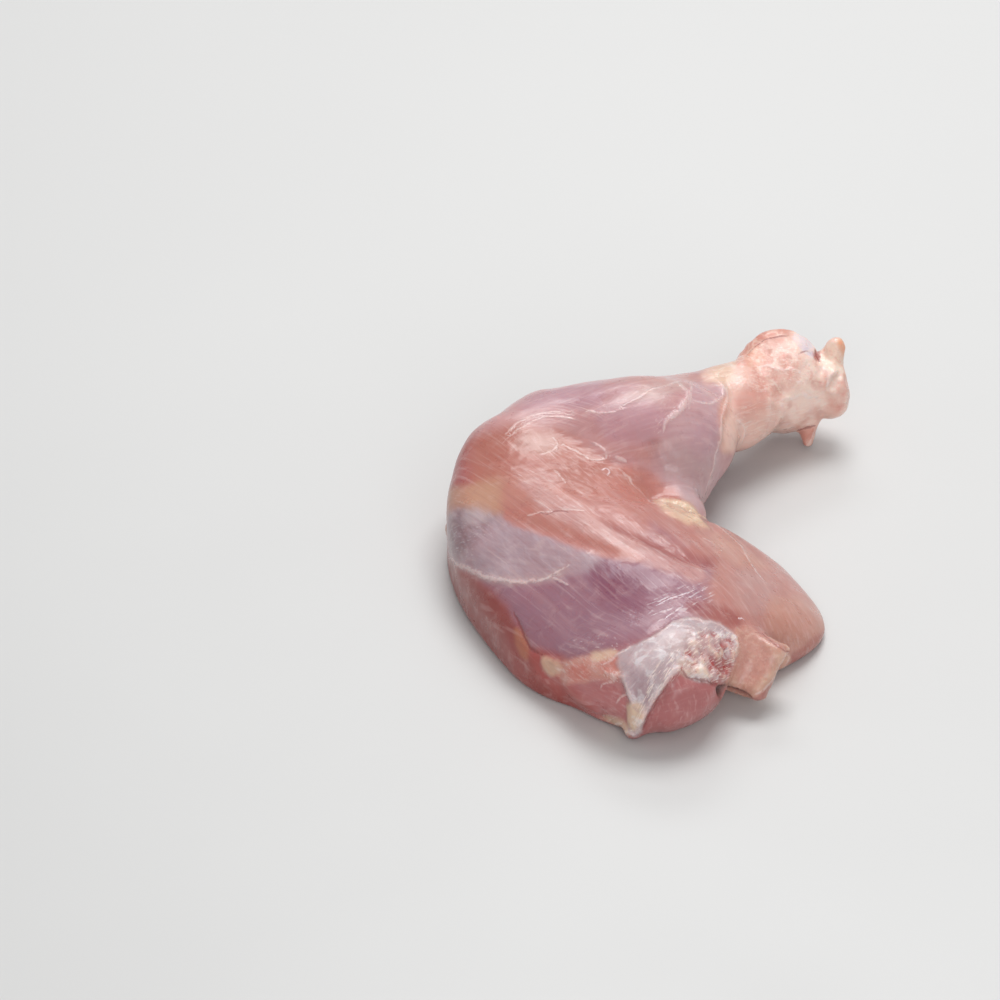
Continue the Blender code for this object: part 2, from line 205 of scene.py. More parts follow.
def drumstick(p):
    d = tapered_rod(p, SHIN_START, SHIN_END, SHIN_RADIUS_KNEE, SHIN_RADIUS_SHANK)
    d = join(d, ellipsoid(p, CALF_CENTRE, CALF_RADII, CALF_YAW), BLEND_MUSCLE)
    d = join(d, ellipsoid(p, CALF_LOBE_CENTRE, CALF_LOBE_RADII, CALF_LOBE_YAW), 5.0)
    d = join(d, tapered_rod(p, SHANK_START, SHANK_END, SHANK_RADIUS, SHANK_RADIUS_HOCK), BLEND_MUSCLE)
    return join(d, hock(p), 5.0)


def thigh(p):
    t = thigh_slab(p)
    t = join(t, ellipsoid(p, HIP_INNER_CENTRE, HIP_INNER_RADII, HIP_INNER_YAW), 14.0)
    t = join(t, ellipsoid(p, thigh_point(HIP_OUTER_ALONG, HIP_OUTER_ACROSS, HIP_OUTER_HEIGHT),
                          HIP_OUTER_RADII, HIP_OUTER_YAW), 7.0)
    t = join(t, ellipsoid(p, HIP_FILL_CENTRE, HIP_FILL_RADII), BLEND_MUSCLE)
    t = meet(t, -ellipsoid(p, HOLLOW_CENTRE, HOLLOW_RADII), BLEND_FINE)
    return join(t, slab_of_fat(p, FAT_FLAP_CENTRE, FAT_FLAP_HALF_SIZES, FAT_FLAP_ROUNDING,
                               FAT_FLAP_YAW, FAT_FLAP_ROLL), 5.5)


def leg(p):
    f = join(drumstick(p), ellipsoid(p, KNEE_CENTRE, KNEE_RADII, KNEE_YAW), 8.0)
    f = join(f, ellipsoid(p, WEB_CENTRE, WEB_RADII, WEB_YAW), 10.0)
    f = join(f, thigh(p), BLEND_WIDE)
    f = join(f, ellipsoid(p, PIT_FAT_CENTRE, PIT_FAT_RADII, PIT_FAT_YAW), 9.0)
    f = join(f, tapered_rod(p, MEMBRANE_TOP, MEMBRANE_FOOT, MEMBRANE_RADIUS_TOP, MEMBRANE_RADIUS_FOOT), 5.0)
    return meet(f, -p[..., 2], TABLE_ROUNDING)


# ------------------------------------------------------------------ meshing
def close_slits(value, cell):
    for _ in range(12):
        changed = 0
        for a, b in ((0, 1), (0, 2), (1, 2)):
            views = {}
            for i in (0, 1):
                for j in (0, 1):
                    s = [slice(None)] * 3
                    s[a] = slice(0, -1) if i == 0 else slice(1, None)
                    s[b] = slice(0, -1) if j == 0 else slice(1, None)
                    views[(i, j)] = value[tuple(s)]
            w = {k: v < 0 for k, v in views.items()}
            crossed = (w[(0, 0)] == w[(1, 1)]) & (w[(0, 1)] == w[(1, 0)]) & (w[(0, 0)] != w[(0, 1)])
            for at in np.argwhere(crossed):
                at = tuple(at)
                outside = [k for k in views if views[k][at] >= 0]
                if len(outside) == 2:
                    nearest = min(outside, key=lambda k: views[k][at])
                    views[nearest][at] = -0.05 * cell
                    changed += 1
        if not changed:
            break
    return value


def zero_surface(field, low, high, cell):
    count = np.ceil((high - low) / cell).astype(int) + 1
    axes = [low[i] + cell * np.arange(count[i]) for i in range(3)]
    value = np.empty(tuple(count))
    for i, x in enumerate(axes[0]):
        plane = np.stack(np.meshgrid([x], axes[1], axes[2], indexing="ij"), -1)
        value[i] = field(plane)[0]
    value = close_slits(value, cell)
    inside = value < 0
    cells = tuple(count - 1)
    total = np.zeros(cells + (3,))
    hits = np.zeros(cells)
    edges = []
    for axis in range(3):
        a = [slice(None)] * 3
        b = [slice(None)] * 3
        a[axis], b[axis] = slice(0, -1), slice(1, None)
        va, vb = value[tuple(a)], value[tuple(b)]
        crossing = inside[tuple(a)] != inside[tuple(b)]
        t = np.where(crossing, va / np.where(crossing, va - vb, 1.0), 0.0)
        point = np.zeros(crossing.shape + (3,))
        index = np.indices(crossing.shape)
        for k in range(3):
            point[..., k] = index[k] + (t if k == axis else 0.0)
        others = [k for k in range(3) if k != axis]
        for i in (0, 1):
            for j in (0, 1):
                take = [slice(None)] * 3
                for k, shift in zip(others, (i, j)):
                    take[k] = slice(0, -1) if shift == 0 else slice(1, None)
                take = tuple(take)
                total += np.where(crossing[take][..., None], point[take], 0.0)
                hits += crossing[take]
        edges.append((axis, others, crossing, inside[tuple(a)]))
    used = hits > 0
    number = np.full(cells, -1)
    number[used] = np.arange(used.sum())
    points = low + cell * (total[used] / hits[used][:, None])
    quads = []
    for axis, others, crossing, starts_inside in edges:
        at = np.argwhere(crossing)
        keep = np.ones(len(at), bool)
        for k in others:
            keep &= (at[:, k] > 0) & (at[:, k] < count[k] - 1)
        at = at[keep]
        corner = []
        for i, j in ((-1, -1), (0, -1), (0, 0), (-1, 0)):
            c = at.copy()
            c[:, others[0]] += i
            c[:, others[1]] += j
            corner.append(number[c[:, 0], c[:, 1], c[:, 2]])
        quad = np.stack(corner, 1)
        outward = starts_inside[at[:, 0], at[:, 1], at[:, 2]]
        if axis == 1:
            outward = ~outward
        quad[~outward] = quad[~outward][:, ::-1]
        quads.append(quad)
    return points, np.concatenate(quads)


def slope(field, points, step=0.25):
    g = np.zeros_like(points)
    for k in range(3):
        d = np.zeros(3)
        d[k] = step
        g[:, k] = (field(points + d) - field(points - d)) / (2 * step)
    return g


def neighbours(quads):
    return np.concatenate([np.stack([quads[:, i], quads[:, (i + 1) % 4]], 1) for i in range(4)])


def averaged(values, pairs, n, rounds=1, share=0.5):
    near = np.bincount(pairs[:, 0], minlength=n) + np.bincount(pairs[:, 1], minlength=n)
    flat = values.reshape(n, -1).astype(float)
    for _ in range(rounds):
        out = np.empty_like(flat)
        for k in range(flat.shape[1]):
            out[:, k] = (np.bincount(pairs[:, 0], flat[pairs[:, 1], k], n)
                         + np.bincount(pairs[:, 1], flat[pairs[:, 0], k], n)) / near
        flat = flat + share * (out - flat)
    return flat.reshape(values.shape)


def settle(field, points, quads, rounds, slides=4):
    """Spreads the points evenly over the surface and puts them back on it."""
    pairs = neighbours(quads)
    flat = points[:, 2] < 0.02
    for _ in range(rounds):
        g = slope(field, points)
        n = g / (np.linalg.norm(g, axis=1, keepdims=True) + 1e-9)
        for _ in range(slides):
            step = averaged(points, pairs, len(points), share=0.7) - points
            points = points + step - 0.8 * n * (step * n).sum(1)[:, None]
        for _ in range(2):
            g = slope(field, points)
            points = points - g * (field(points) / np.maximum((g * g).sum(1), 0.2))[:, None]
        points[flat, 2] = 0.0
        points[:, 2] = np.maximum(points[:, 2], 0.0)
    return points


def split_quads(points, quads):
    """Every quad becomes four."""
    n = len(points)
    ends = np.sort(np.stack([quads, np.roll(quads, -1, 1)], -1), -1)
    key = ends[..., 0].astype(np.int64) * n + ends[..., 1]
    unique, where = np.unique(key, return_inverse=True)
    where = where.reshape(key.shape)
    middle = (points[unique // n] + points[unique % n]) / 2
    centre = points[quads].mean(1)
    e = n + where
    c = n + len(unique) + np.arange(len(quads))
    new = [np.stack([quads[:, i], e[:, i], c, e[:, i - 1]], 1) for i in range(4)]
    return np.concatenate([points, middle, centre]), np.concatenate(new)


points, quads = zero_surface(leg, LOW, HIGH, CELL)
points = settle(leg, points, quads, 3)
points, quads = split_quads(points, quads)
points = settle(leg, points, quads, 1)
pairs = neighbours(quads)
count = len(points)

# ------------------------------------------------------------------ camera
# The camera's place is written in the drawing too: looking down at PITCH.
FOCUS = 6000.0                      # pixels, for a picture 1000 wide
PITCH, ROLL, DISTANCE = math.radians(33.4), math.radians(1.1), 2084.0
TARGET = np.array([-50.0, 30.0, 0.0])
look = np.array([0.0, math.cos(PITCH), -math.sin(PITCH)])
level = np.array([1.0, 0.0, 0.0])
rise = np.cross(level, look)
right = level * math.cos(ROLL) - rise * math.sin(ROLL)
up = level * math.sin(ROLL) + rise * math.cos(ROLL)
eye = TARGET - look * DISTANCE


def real(p):
    return (np.asarray(p, float) - MIDDLE) * UNIT


camera_data = bpy.data.cameras.new("camera")
camera_data.sensor_width = 36.0
camera_data.lens = 36.0 * FOCUS / 1000.0
camera_data.clip_start, camera_data.clip_end = 0.05, 20.0
camera = bpy.data.objects.new("camera", camera_data)
scene.collection.objects.link(camera)
camera.matrix_world = Matrix((
    (right[0], up[0], -look[0], real(eye)[0]),
    (right[1], up[1], -look[1], real(eye)[1]),
    (right[2], up[2], -look[2], real(eye)[2]),
    (0, 0, 0, 1)))
scene.camera = camera


def pixel(p):
    d = p - eye
    depth = d @ look
    return 500 + FOCUS * (d @ right) / depth, 500 - FOCUS * (d @ up) / depth


normal = slope(leg, points)
normal /= np.linalg.norm(normal, axis=1, keepdims=True) + 1e-9
u, v = pixel(points)
towards_eye = (eye - points) / np.linalg.norm(eye - points, axis=1, keepdims=True)
facing = (normal * towards_eye).sum(1)

# ------------------------------------------------------------------ drawing on the leg
# Features are placed where the photograph shows them: a line is written in its
# pixels (x, y of a 1000 x 1000 frame), and rays from the eye carry it to the flesh.
tree = BVHTree.FromPolygons([tuple(map(float, p)) for p in points], quads.tolist())
shown = np.zeros(count)
for i in np.nonzero(facing > -0.05)[0]:
    start = points[i] + normal[i] * 0.5
    hit = tree.ray_cast(Vector(start), Vector(towards_eye[i]), 400.0)
    shown[i] = 0.0 if hit[0] is not None else 1.0
shown = averaged(shown, pairs, count, 3)
seen = ramp(0.3, 0.8, shown) * ramp(-0.02, 0.2, facing)
near_view = np.nonzero((facing > -0.3) & (averaged(shown, pairs, count, 6) > 0.02))[0]


def curve(corners, step=1.2, closed=False):
    """A smooth line through the corners, as evenly spaced points."""
    c = np.array(corners, float)
    n = len(c)
    out = []
    for i in range(n if closed else n - 1):
        if closed:
            a, b, d, e = c[(i - 1) % n], c[i], c[(i + 1) % n], c[(i + 2) % n]
        else:
            a, b, d, e = c[max(i - 1, 0)], c[i], c[i + 1], c[min(i + 2, n - 1)]
        k = max(2, int(np.linalg.norm(d - b) / step))
        t = (np.arange(k) / k)[:, None]
        out.append(0.5 * (2 * b + (d - a) * t + (2 * a - 5 * b + 4 * d - e) * t ** 2
                          + (3 * b - a - 3 * d + e) * t ** 3))
    if not closed:
        out.append(c[-1:])
    return np.concatenate(out)


def ray(uv):
    d = look * FOCUS + right * (uv[0] - 500) - up * (uv[1] - 500)
    return d / np.linalg.norm(d)


def cast(line):
    """Photograph points onto the leg; a point beside the leg gives no hit."""
    hits, keep = [], []
    for i, uv in enumerate(line):
        hit = tree.ray_cast(Vector(eye), Vector(ray(uv)), 4000.0)
        if hit[0] is not None:
            hits.append(tuple(hit[0]))
            keep.append(i)
    return np.array(hits).reshape(-1, 3), np.array(keep, int)


FAR = 30.0


class Strokes:
    """A set of lines: for each vertex the nearest line's signed distance, plain
    distance and half width, all in drawing units."""

    def __init__(self, reach=6.0):
        self.place, self.along, self.width = [], [], []
        self.reach = reach

    def add(self, corners, width, taper=(0.35, 0.35), wobble=0.0, seed=0):
        line = curve(corners)
        if wobble:
            rng = np.random.default_rng(seed)
            k = max(3, len(line) // 4)
            bend = np.interp(np.arange(len(line)), np.linspace(0, len(line) - 1, k),
                             rng.normal(0, wobble, k))
            t = np.gradient(line, axis=0)
            t /= np.linalg.norm(t, axis=1, keepdims=True) + 1e-9
            line = line + np.stack([-t[:, 1], t[:, 0]], 1) * bend[:, None]
        place, keep = cast(line)
        if len(place) < 3:
            return self
        share = keep / max(len(line) - 1, 1)
        w = np.ones(len(place))
        if taper[0] > 0:
            w *= np.clip(share / taper[0], 0, 1) ** 0.6
        if taper[1] > 0:
            w *= np.clip((1 - share) / taper[1], 0, 1) ** 0.6
        self.place.append(place)
        self.along.append(np.gradient(place, axis=0))
        self.width.append(w * width)
        return self

    def trace(self, corners, width, taper=(0.35, 0.35), wobble=0.0, seed=0):
        """A line on the sides that the photograph hides, given in space."""
        line = curve(corners)
        if wobble:
            rng = np.random.default_rng(seed)
            k = max(3, len(line) // 5)
            for axis in range(3):
                line[:, axis] += np.interp(np.arange(len(line)), np.linspace(0, len(line) - 1, k),
                                           rng.normal(0, wobble, k))
        place = np.array([tuple(tree.find_nearest(Vector(q))[0]) for q in line])
        share = np.arange(len(place)) / max(len(place) - 1, 1)
        w = np.ones(len(place))
        if taper[0] > 0:
            w *= np.clip(share / taper[0], 0, 1) ** 0.6
        if taper[1] > 0:
            w *= np.clip((1 - share) / taper[1], 0, 1) ** 0.6
        self.place.append(place)
        self.along.append(np.gradient(place, axis=0))
        self.width.append(w * width)
        return self

    def measure(self):
        place = np.concatenate(self.place)
        along = np.concatenate(self.along)
        width = np.concatenate(self.width)
        kd = KDTree(len(place))
        for i, q in enumerate(place):
            kd.insert(Vector(q), i)
        kd.balance()
        signed, plain, half = np.full(count, FAR), np.full(count, FAR), np.zeros(count)
        for v in range(count):
            q, i, d = kd.find(Vector(points[v]))
            if d < self.reach:
                side = np.dot(np.cross(along[i], points[v] - place[i]), normal[v])
                off = points[v] - place[i]
                t = along[i] / (np.linalg.norm(along[i]) + 1e-9)
                true = np.linalg.norm(off - t * np.dot(off, t)) if d < 1.2 else d
                signed[v] = true if side > 0 else -true
                plain[v] = true
                half[v] = width[i]
        return signed, plain, half


def edge_distance(corners, closed=True):
    """Pixels from each vertex to a closed outline, above zero inside it."""
    c = curve(corners, 3.0, closed)
    best = np.full(count, 1e9)
    inside = np.zeros(count, bool)
    n = len(c)
    for i in range(n):
        (x0, y0), (x1, y1) = c[i], c[(i + 1) % n]
        ex, ey = x1 - x0, y1 - y0
        t = np.clip(((u - x0) * ex + (v - y0) * ey) / (ex * ex + ey * ey + 1e-9), 0, 1)
        d = (u - x0 - t * ex) ** 2 + (v - y0 - t * ey) ** 2
        best = np.minimum(best, d)
        if y0 != y1:
            crosses = ((y0 > v) != (y1 > v)) & (u < ex * (v - y0) / ey + x0)
            inside ^= crosses
    best = np.sqrt(best)
    return np.where(inside, best, -best)


def hashed(i, seed):
    h = (i[..., 0] * 374761393 + i[..., 1] * 668265263 + i[..., 2] * 2147483647 + seed * 1274126177) & 0xFFFFFFFF
    h = ((h ^ (h >> 13)) * 1274126177) & 0xFFFFFFFF
    h = ((h ^ (h >> 16)) * 2246822519) & 0xFFFFFFFF
    return ((h ^ (h >> 15)) & 0xFFFFFF) / float(0xFFFFFF) * 2.0 - 1.0


def ripple(p, size, seed, octaves=1, stretch=None):
    """Smooth noise from -1 to 1 with bumps of the given size."""
    total, share, weight = 0.0, 1.0, 0.0
    q = np.asarray(p, float)
    if stretch is not None:
        q = q @ np.array(stretch, float)
    q = q / size
    for octave in range(octaves):
        base = np.floor(q).astype(np.int64)
        f = q - base
        f = f * f * (3 - 2 * f)
        value = 0.0
        for i in (0, 1):
            for j in (0, 1):
                for k in (0, 1):
                    w = (np.where(i, f[..., 0], 1 - f[..., 0]) * np.where(j, f[..., 1], 1 - f[..., 1])
                         * np.where(k, f[..., 2], 1 - f[..., 2]))
                    value = value + w * hashed(base + np.array([i, j, k]), seed + 17 * octave)
        total = total + value * share
        weight += share
        share *= 0.5
        q = q * 2.03 + 11.3
    return total / weight


def lin(r, g, b):
    c = np.array([r, g, b], float) / 255.0
    return np.where(c <= 0.04045, c / 12.92, ((c + 0.055) / 1.055) ** 2.4)
# ------------------------------------------------------------------ tissue colours
# One colour for each tissue of a raw leg, and a few colours of painted shade and painted highlight; every part of it is
# laid in these.
TISSUE = {
    "drum_rose": (198, 150, 150), "drum_film": (184, 142, 152), "sheath": (200, 168, 164),
    "sheet": (199, 163, 167), "sheet_deep": (190, 162, 164),
    # the crest's pale colour is the pale strip between its muscles, painted lighter as the highlight along it
    "knee": (178, 110, 96), "cap": (190, 144, 134), "crest": (188, 125, 113), "crest_highlight": (196, 146, 140),
    "crest_red": (194, 126, 114), "seam": (144, 66, 62), "ochre": (194, 146, 122),
    "plum": (132, 74, 96), "mauve": (154, 110, 124), "silver": (172, 146, 153), "silver_deep": (132, 102, 108),
    "outer": (184, 127, 118), "outer_peach": (194, 142, 124),
    # the side colour is flesh painted with the shade of the side wall
    "side": (150, 70, 64), "side_tan": (178, 112, 86), "raw": (186, 114, 114), "raw_deep": (162, 92, 90),
    "fringe": (210, 150, 136), "fringe_red": (206, 118, 106),
    # the near-black red is painted shadow for hollows, not a tissue
    "membrane": (190, 171, 174), "membrane_rose": (204, 164, 160), "blood": (156, 56, 52), "cavity_shade": (44, 4, 4),
    "cream": (222, 192, 164), "cream_pale": (240, 214, 194), "flap": (204, 156, 140), "flap_rose": (208, 152, 142),
    "hock": (234, 194, 180), "hock_rose": (221, 162, 149), "hock_red": (214, 148, 132), "hock_white": (250, 224, 211),
    "shank": (221, 182, 166),
    "cartilage": (226, 214, 222), "marrow": (232, 160, 116),
}


def tissue(name, light=1.0):
    return lin(*TISSUE[name]) * light


drum_axis = np.array([62.0, 24.0]) / math.hypot(62.0, 24.0)
along_drum = (points[:, 0] + 31.0) * drum_axis[0] + (points[:, 1] - 28.0) * drum_axis[1]
across_drum = -(points[:, 0] + 31.0) * drum_axis[1] + (points[:, 1] - 28.0) * drum_axis[0]
along_thigh, across_thigh = thigh_axes(points)
drumness = ramp(-7.0, 7.0, thigh(points) - drumstick(points))
patchy = ripple(points, 14.0, 5, 3)
fine_patchy = ripple(points, 5.0, 9, 3)

tint = np.tile(tissue("outer"), (count, 1))


def lay(weight, colour):
    global tint
    w = np.clip(weight, 0, 1)[:, None]
    tint = tint * (1 - w) + np.asarray(colour) * w


def area(corners, soft, name, strength=1.0, jitter=2.0, size=5.0, seed=1, light=1.0):
    """Lays a tissue inside an outline whose edge is soft pixels wide."""
    d = edge_distance(corners) + jitter * ripple(points, size, seed, 2)
    w = ramp(-soft, soft, d) * strength * seen
    lay(w, tissue(name, light))
    return w


# the whole body first, so that every side has its tissue
lay(ramp(10, -34, across_thigh + 5 * patchy) * (1 - drumness), tissue("raw_deep", 1.15))
lay(ramp(0, 40, across_thigh + 6 * patchy) * (1 - drumness), tissue("outer"))
lay(drumness, tissue("drum_rose"))
lay(drumness * ramp(0.1, 0.5, patchy) * 0.6, tissue("drum_film"))
lay(drumness * ramp(0.0, 0.5, -patchy) * 0.5, tissue("sheath"))
lay(ramp(60, 74, along_drum + 4 * patchy), tissue("shank"))
lay(ramp(60, 70, along_drum) * ramp(84, 76, along_drum) * ramp(0.0, 0.35, patchy) * 0.6, tissue("drum_rose", 1.05))
lay(ramp(74, 84, along_drum + 3 * patchy), tissue("hock"))
# silverskin on the sides that are not drawn from the photograph
hidden_skin = (1 - seen) * (1 - drumness) * ramp(0.12, 0.3, ripple(points, 26.0, 21, 2)) * ramp(3, 9, points[:, 2])
lay(hidden_skin * 0.8, tissue("silver"))
hidden_fat = 42.0 * (ripple(points, 17.0, 23, 3) + 0.22 * ripple(points, 3.5, 24, 2) - 0.36) - 30.0 * ramp(56, 66, along_drum) - 20.0 * ramp(6, 2, points[:, 2])
lay((1 - seen) * ramp(-2.5, 3.0, hidden_fat) * 0.85, tissue("cream", 0.92))
lay((1 - seen) * ramp(-0.05, -0.4, normal[:, 2]) * 0.5, tissue("raw"))

# --- drumstick
area([(470, 430), (505, 405), (560, 383), (640, 374), (712, 372), (722, 400), (716, 450), (697, 512), (655, 498), (600, 470), (560, 450), (500, 440)],
     10, "drum_rose")
area([(520, 405), (560, 378), (600, 372), (716, 370), (718, 384), (660, 392), (610, 402), (545, 412)], 9, "drum_film", 0.9, 3.0, seed=2)
area([(604, 382), (640, 374), (712, 372), (716, 382), (672, 390), (630, 400), (606, 400)], 6, "outer_peach", 0.55, 3.0, seed=85)
area([(612, 404), (640, 386), (672, 380), (684, 386), (668, 399), (640, 409), (616, 415)], 7, "sheath", 0.8, 3.0, seed=3)
area([(560, 388), (600, 382), (640, 384), (620, 398), (570, 404)], 8, "drum_film", 0.6, 3.0, seed=4)
area([(500, 425), (540, 408), (600, 412), (655, 418), (660, 440), (620, 452), (580, 450), (540, 432)], 9, "drum_rose", 0.8, seed=5)
area([(600, 420), (640, 424), (664, 440), (650, 462), (620, 452), (596, 436)], 10, "knee", 0.45, 3.0, seed=67, light=1.08)
area([(690, 386), (722, 384), (724, 402), (693, 405)], 5, "sheet", 0.8, 1.0, seed=6)
area([(664, 424), (684, 406), (724, 402), (722, 450), (700, 512), (676, 500), (658, 470)], 15, "sheet", 0.85, 3.0, seed=7)
area([(672, 450), (706, 440), (716, 460), (698, 512), (676, 498)], 13, "sheet_deep", 0.8, 3.0, seed=8)
area([(690, 430), (716, 420), (718, 446), (700, 460)], 8, "drum_film", 0.5, 3.0, seed=68)
area([(720, 404), (727, 398), (740, 412), (746, 432), (738, 449), (722, 452), (719, 430)], 4, "outer_peach", 0.9, seed=9, light=1.15)
# --- shank and hock
area([(706, 368), (742, 356), (748, 392), (728, 404), (724, 388), (704, 384)], 5, "shank", seed=10)
area([(712, 370), (736, 362), (742, 374), (728, 384), (714, 382)], 5, "cream", 0.6, 3.0, 3.0, seed=79)
area([(736, 362), (752, 340), (778, 328), (800, 326), (822, 346), (850, 336), (856, 400), (838, 424), (806, 440), (736, 452), (722, 440), (728, 405)],
     5, "hock", seed=11)
area([(735, 405), (742, 392), (752, 386), (768, 396), (773, 412), (764, 423), (744, 420)], 5, "hock_rose", 0.8, 3.0, 3.0, seed=12)
area([(752, 372), (764, 356), (776, 350), (784, 366), (776, 392), (760, 392)], 5, "hock_rose", 0.7, 3.0, 3.0, seed=13)
area([(784, 368), (800, 360), (812, 372), (806, 390), (790, 388)], 5, "hock_rose", 0.6, 3.0, 3.0, seed=69, light=1.05)
area([(770, 352), (792, 344), (806, 360), (806, 386), (786, 396), (774, 380)], 6, "hock", 0.6, 3.0, 3.0, seed=14)
area([(740, 424), (764, 408), (800, 398), (824, 394), (826, 412), (800, 434), (764, 440), (742, 440)], 6, "hock", 0.65, 2.0, seed=15)
area([(778, 400), (800, 388), (826, 392), (822, 412), (796, 422)], 6, "hock_white", 0.8, 2.0, seed=16, light=1.05)
area([(798, 374), (804, 358), (820, 351), (830, 358), (826, 374), (812, 388), (800, 388)], 4, "hock_white", 0.8, 2.0, 3.0, seed=70)
area([(736, 366), (748, 345), (768, 331), (794, 326), (808, 331), (804, 337), (788, 334), (770, 339), (756, 351), (747, 366)],
     2.5, "hock_red", 0.95, 1.0, 3.0, seed=17)
area([(757, 345), (775, 335), (790, 333), (782, 342), (766, 352)], 3, "hock_red", 0.5, 2.0, 3.0, seed=18, light=0.85)
area([(748, 350), (760, 348), (766, 360), (756, 370), (746, 366)], 3, "marrow", 0.45, 2.0, 3.0, seed=71)
area([(793, 338), (803, 331), (815, 338), (820, 350), (813, 357), (801, 352)], 2.0, "cartilage", 0.95, 1.0, 3.0, seed=19)
area([(821, 352), (832, 342), (846, 338), (850, 352), (845, 372), (834, 372), (824, 366)], 3, "cream_pale", 0.9, 1.0, seed=20)
area([(837, 340), (848, 340), (848, 352), (842, 355)], 2, "marrow", 0.75, 1.0, 2.0, seed=21)
area([(843, 344), (851, 344), (851, 374), (842, 376), (845, 360)], 1.5, "marrow", 0.7, 1.0, 2.0, seed=80)
area([(813, 350), (819, 350), (821, 357), (817, 361), (813, 358)], 1.4, "blood", 0.85, 0.4, seed=81)
area([(826, 387), (830, 376), (838, 370), (843, 374), (840, 386), (832, 394)], 2, "hock_white", 0.9, 0.6, 3.0, seed=22, light=0.85)
area([(845, 374), (853, 384), (851, 400), (842, 412), (834, 416), (840, 400), (845, 388)], 2.5, "hock_rose", 0.85, 1.0, seed=23)
area([(796, 434), (815, 428), (808, 449), (801, 447)], 2, "hock_red", 0.9, 0.6, seed=24)
# --- knee
area([(470, 450), (505, 425), (560, 430), (600, 455), (640, 480), (650, 500), (600, 505), (540, 500), (480, 500)], 10, "knee", seed=25)
area([(515, 446), (522, 437), (540, 432), (556, 436), (560, 445), (552, 455), (532, 457), (519, 453)], 6, "cap", 0.75, 2.0, 3.0, seed=26)
area([(470, 490), (500, 480), (540, 490), (540, 520), (500, 522), (470, 514)], 8, "ochre", 0.8, 3.0, seed=27)
# painted highlight on the slope beside the knee's cap, in the crest's pale colour
area([(514, 474), (540, 470), (560, 482), (548, 492), (524, 488)], 6, "crest_highlight", 0.6, 3.0, 3.0, seed=72)
area([(560, 462), (600, 462), (622, 480), (600, 492), (566, 485)], 7, "knee", 0.7, 3.0, seed=28, light=0.95)
area([(610, 466), (640, 468), (672, 488), (680, 502), (640, 496), (616, 482)], 6, "crest_red", 0.8, 3.0, seed=29)
# --- thigh
area([(500, 520), (560, 505), (640, 510), (700, 540), (720, 590), (680, 625), (560, 660), (500, 600), (470, 560)], 12, "mauve", seed=30)
area([(520, 590), (560, 580), (620, 575), (640, 600), (600, 640), (540, 650), (510, 615)], 10, "mauve", 0.8, 3.0, seed=31, light=0.96)
area([(590, 560), (650, 562), (690, 580), (680, 600), (640, 615), (600, 600)], 10, "plum", 0.85, 3.0, seed=32)
area([(437, 524), (452, 508), (484, 506), (510, 520), (552, 538), (590, 550), (604, 566), (571, 576), (547, 581), (512, 583), (478, 575), (447, 558)],
     7, "silver", 0.95, 2.5, 4.0, seed=33)
area([(440, 540), (456, 512), (484, 508), (492, 520), (476, 540), (458, 558)], 7, "silver_deep", 0.7, 3.0, seed=34)
# painted highlight on the silverskin's top corner, laid in the membrane's white
area([(464, 512), (480, 508), (490, 516), (478, 526), (466, 524)], 5, "membrane", 0.7, 2.0, 3.0, seed=73)
area([(452, 562), (480, 572), (512, 577), (545, 575), (566, 566), (556, 580), (512, 585), (478, 579)], 4, "sheath", 0.5, 1.0, 3.0, seed=35, light=0.9)
area([(430, 500), (450, 488), (500, 488), (500, 512), (456, 508), (438, 522)], 6, "ochre", 0.8, 2.0, seed=36)
area([(505, 480), (540, 478), (590, 500), (640, 520), (632, 560), (590, 548), (540, 530), (505, 515)], 8, "crest", 0.9, 3.0, seed=37)
# the pale strip along the crest, painted lighter as the highlight along it
area([(520, 486), (534, 478), (560, 498), (590, 506), (620, 516), (650, 528), (690, 553), (706, 572), (700, 584), (676, 574), (640, 560), (610, 545), (575, 530), (545, 512)],
     5, "crest_highlight", 0.85, 3.0, 4.0, seed=38)
area([(506, 512), (530, 508), (560, 524), (600, 540), (640, 556), (632, 562), (590, 552), (545, 536), (512, 524)], 4, "crest_red", 0.8, 2.5, 4.0, seed=39, light=0.95)
# the dark band where two muscles part: their darker seam, deepened with painted shade of the groove
area([(596, 508), (620, 512), (650, 528), (682, 545), (716, 552), (740, 566), (716, 568), (684, 560), (640, 540), (600, 522)], 4, "seam", 0.8, 2.0, 4.0, seed=40, light=1.1)
area([(600, 470), (640, 486), (672, 518), (706, 532), (740, 548), (700, 556), (650, 524), (600, 500)], 7, "crest", 0.8, 2.0, seed=41)
area([(706, 532), (745, 550), (790, 580), (828, 612), (824, 640), (790, 664), (758, 634), (720, 618), (706, 590), (716, 560)], 9, "outer", seed=42)
area([(740, 566), (770, 580), (776, 606), (752, 616), (734, 594)], 9, "sheath", 0.35, 3.0, seed=74, light=0.9)
area([(716, 534), (750, 552), (770, 568), (740, 566), (716, 550)], 6, "outer_peach", 0.7, 2.0, seed=43)
area([(770, 600), (800, 596), (824, 618), (816, 642), (790, 655), (768, 630)], 8, "outer_peach", 0.7, 2.0, seed=44)
area([(800, 585), (826, 606), (828, 628), (816, 648), (800, 655), (818, 630), (818, 612)], 3, "outer_peach", 0.7, 1.0, seed=45)
# painted shade along the thigh's outer bottom edge, in the side wall's colour
area([(762, 696), (776, 680), (790, 668), (806, 656), (822, 642), (828, 630), (819, 632), (806, 643), (790, 656), (776, 669), (764, 684)], 3, "side", 0.5, 1.5, 4.0, seed=84)
area([(654, 502), (666, 499), (681, 501), (691, 505), (697, 513), (701, 522), (709, 531), (688, 526), (674, 520), (662, 512)],
     2, "cream", 1.0, 2.0, 3.0, seed=46)
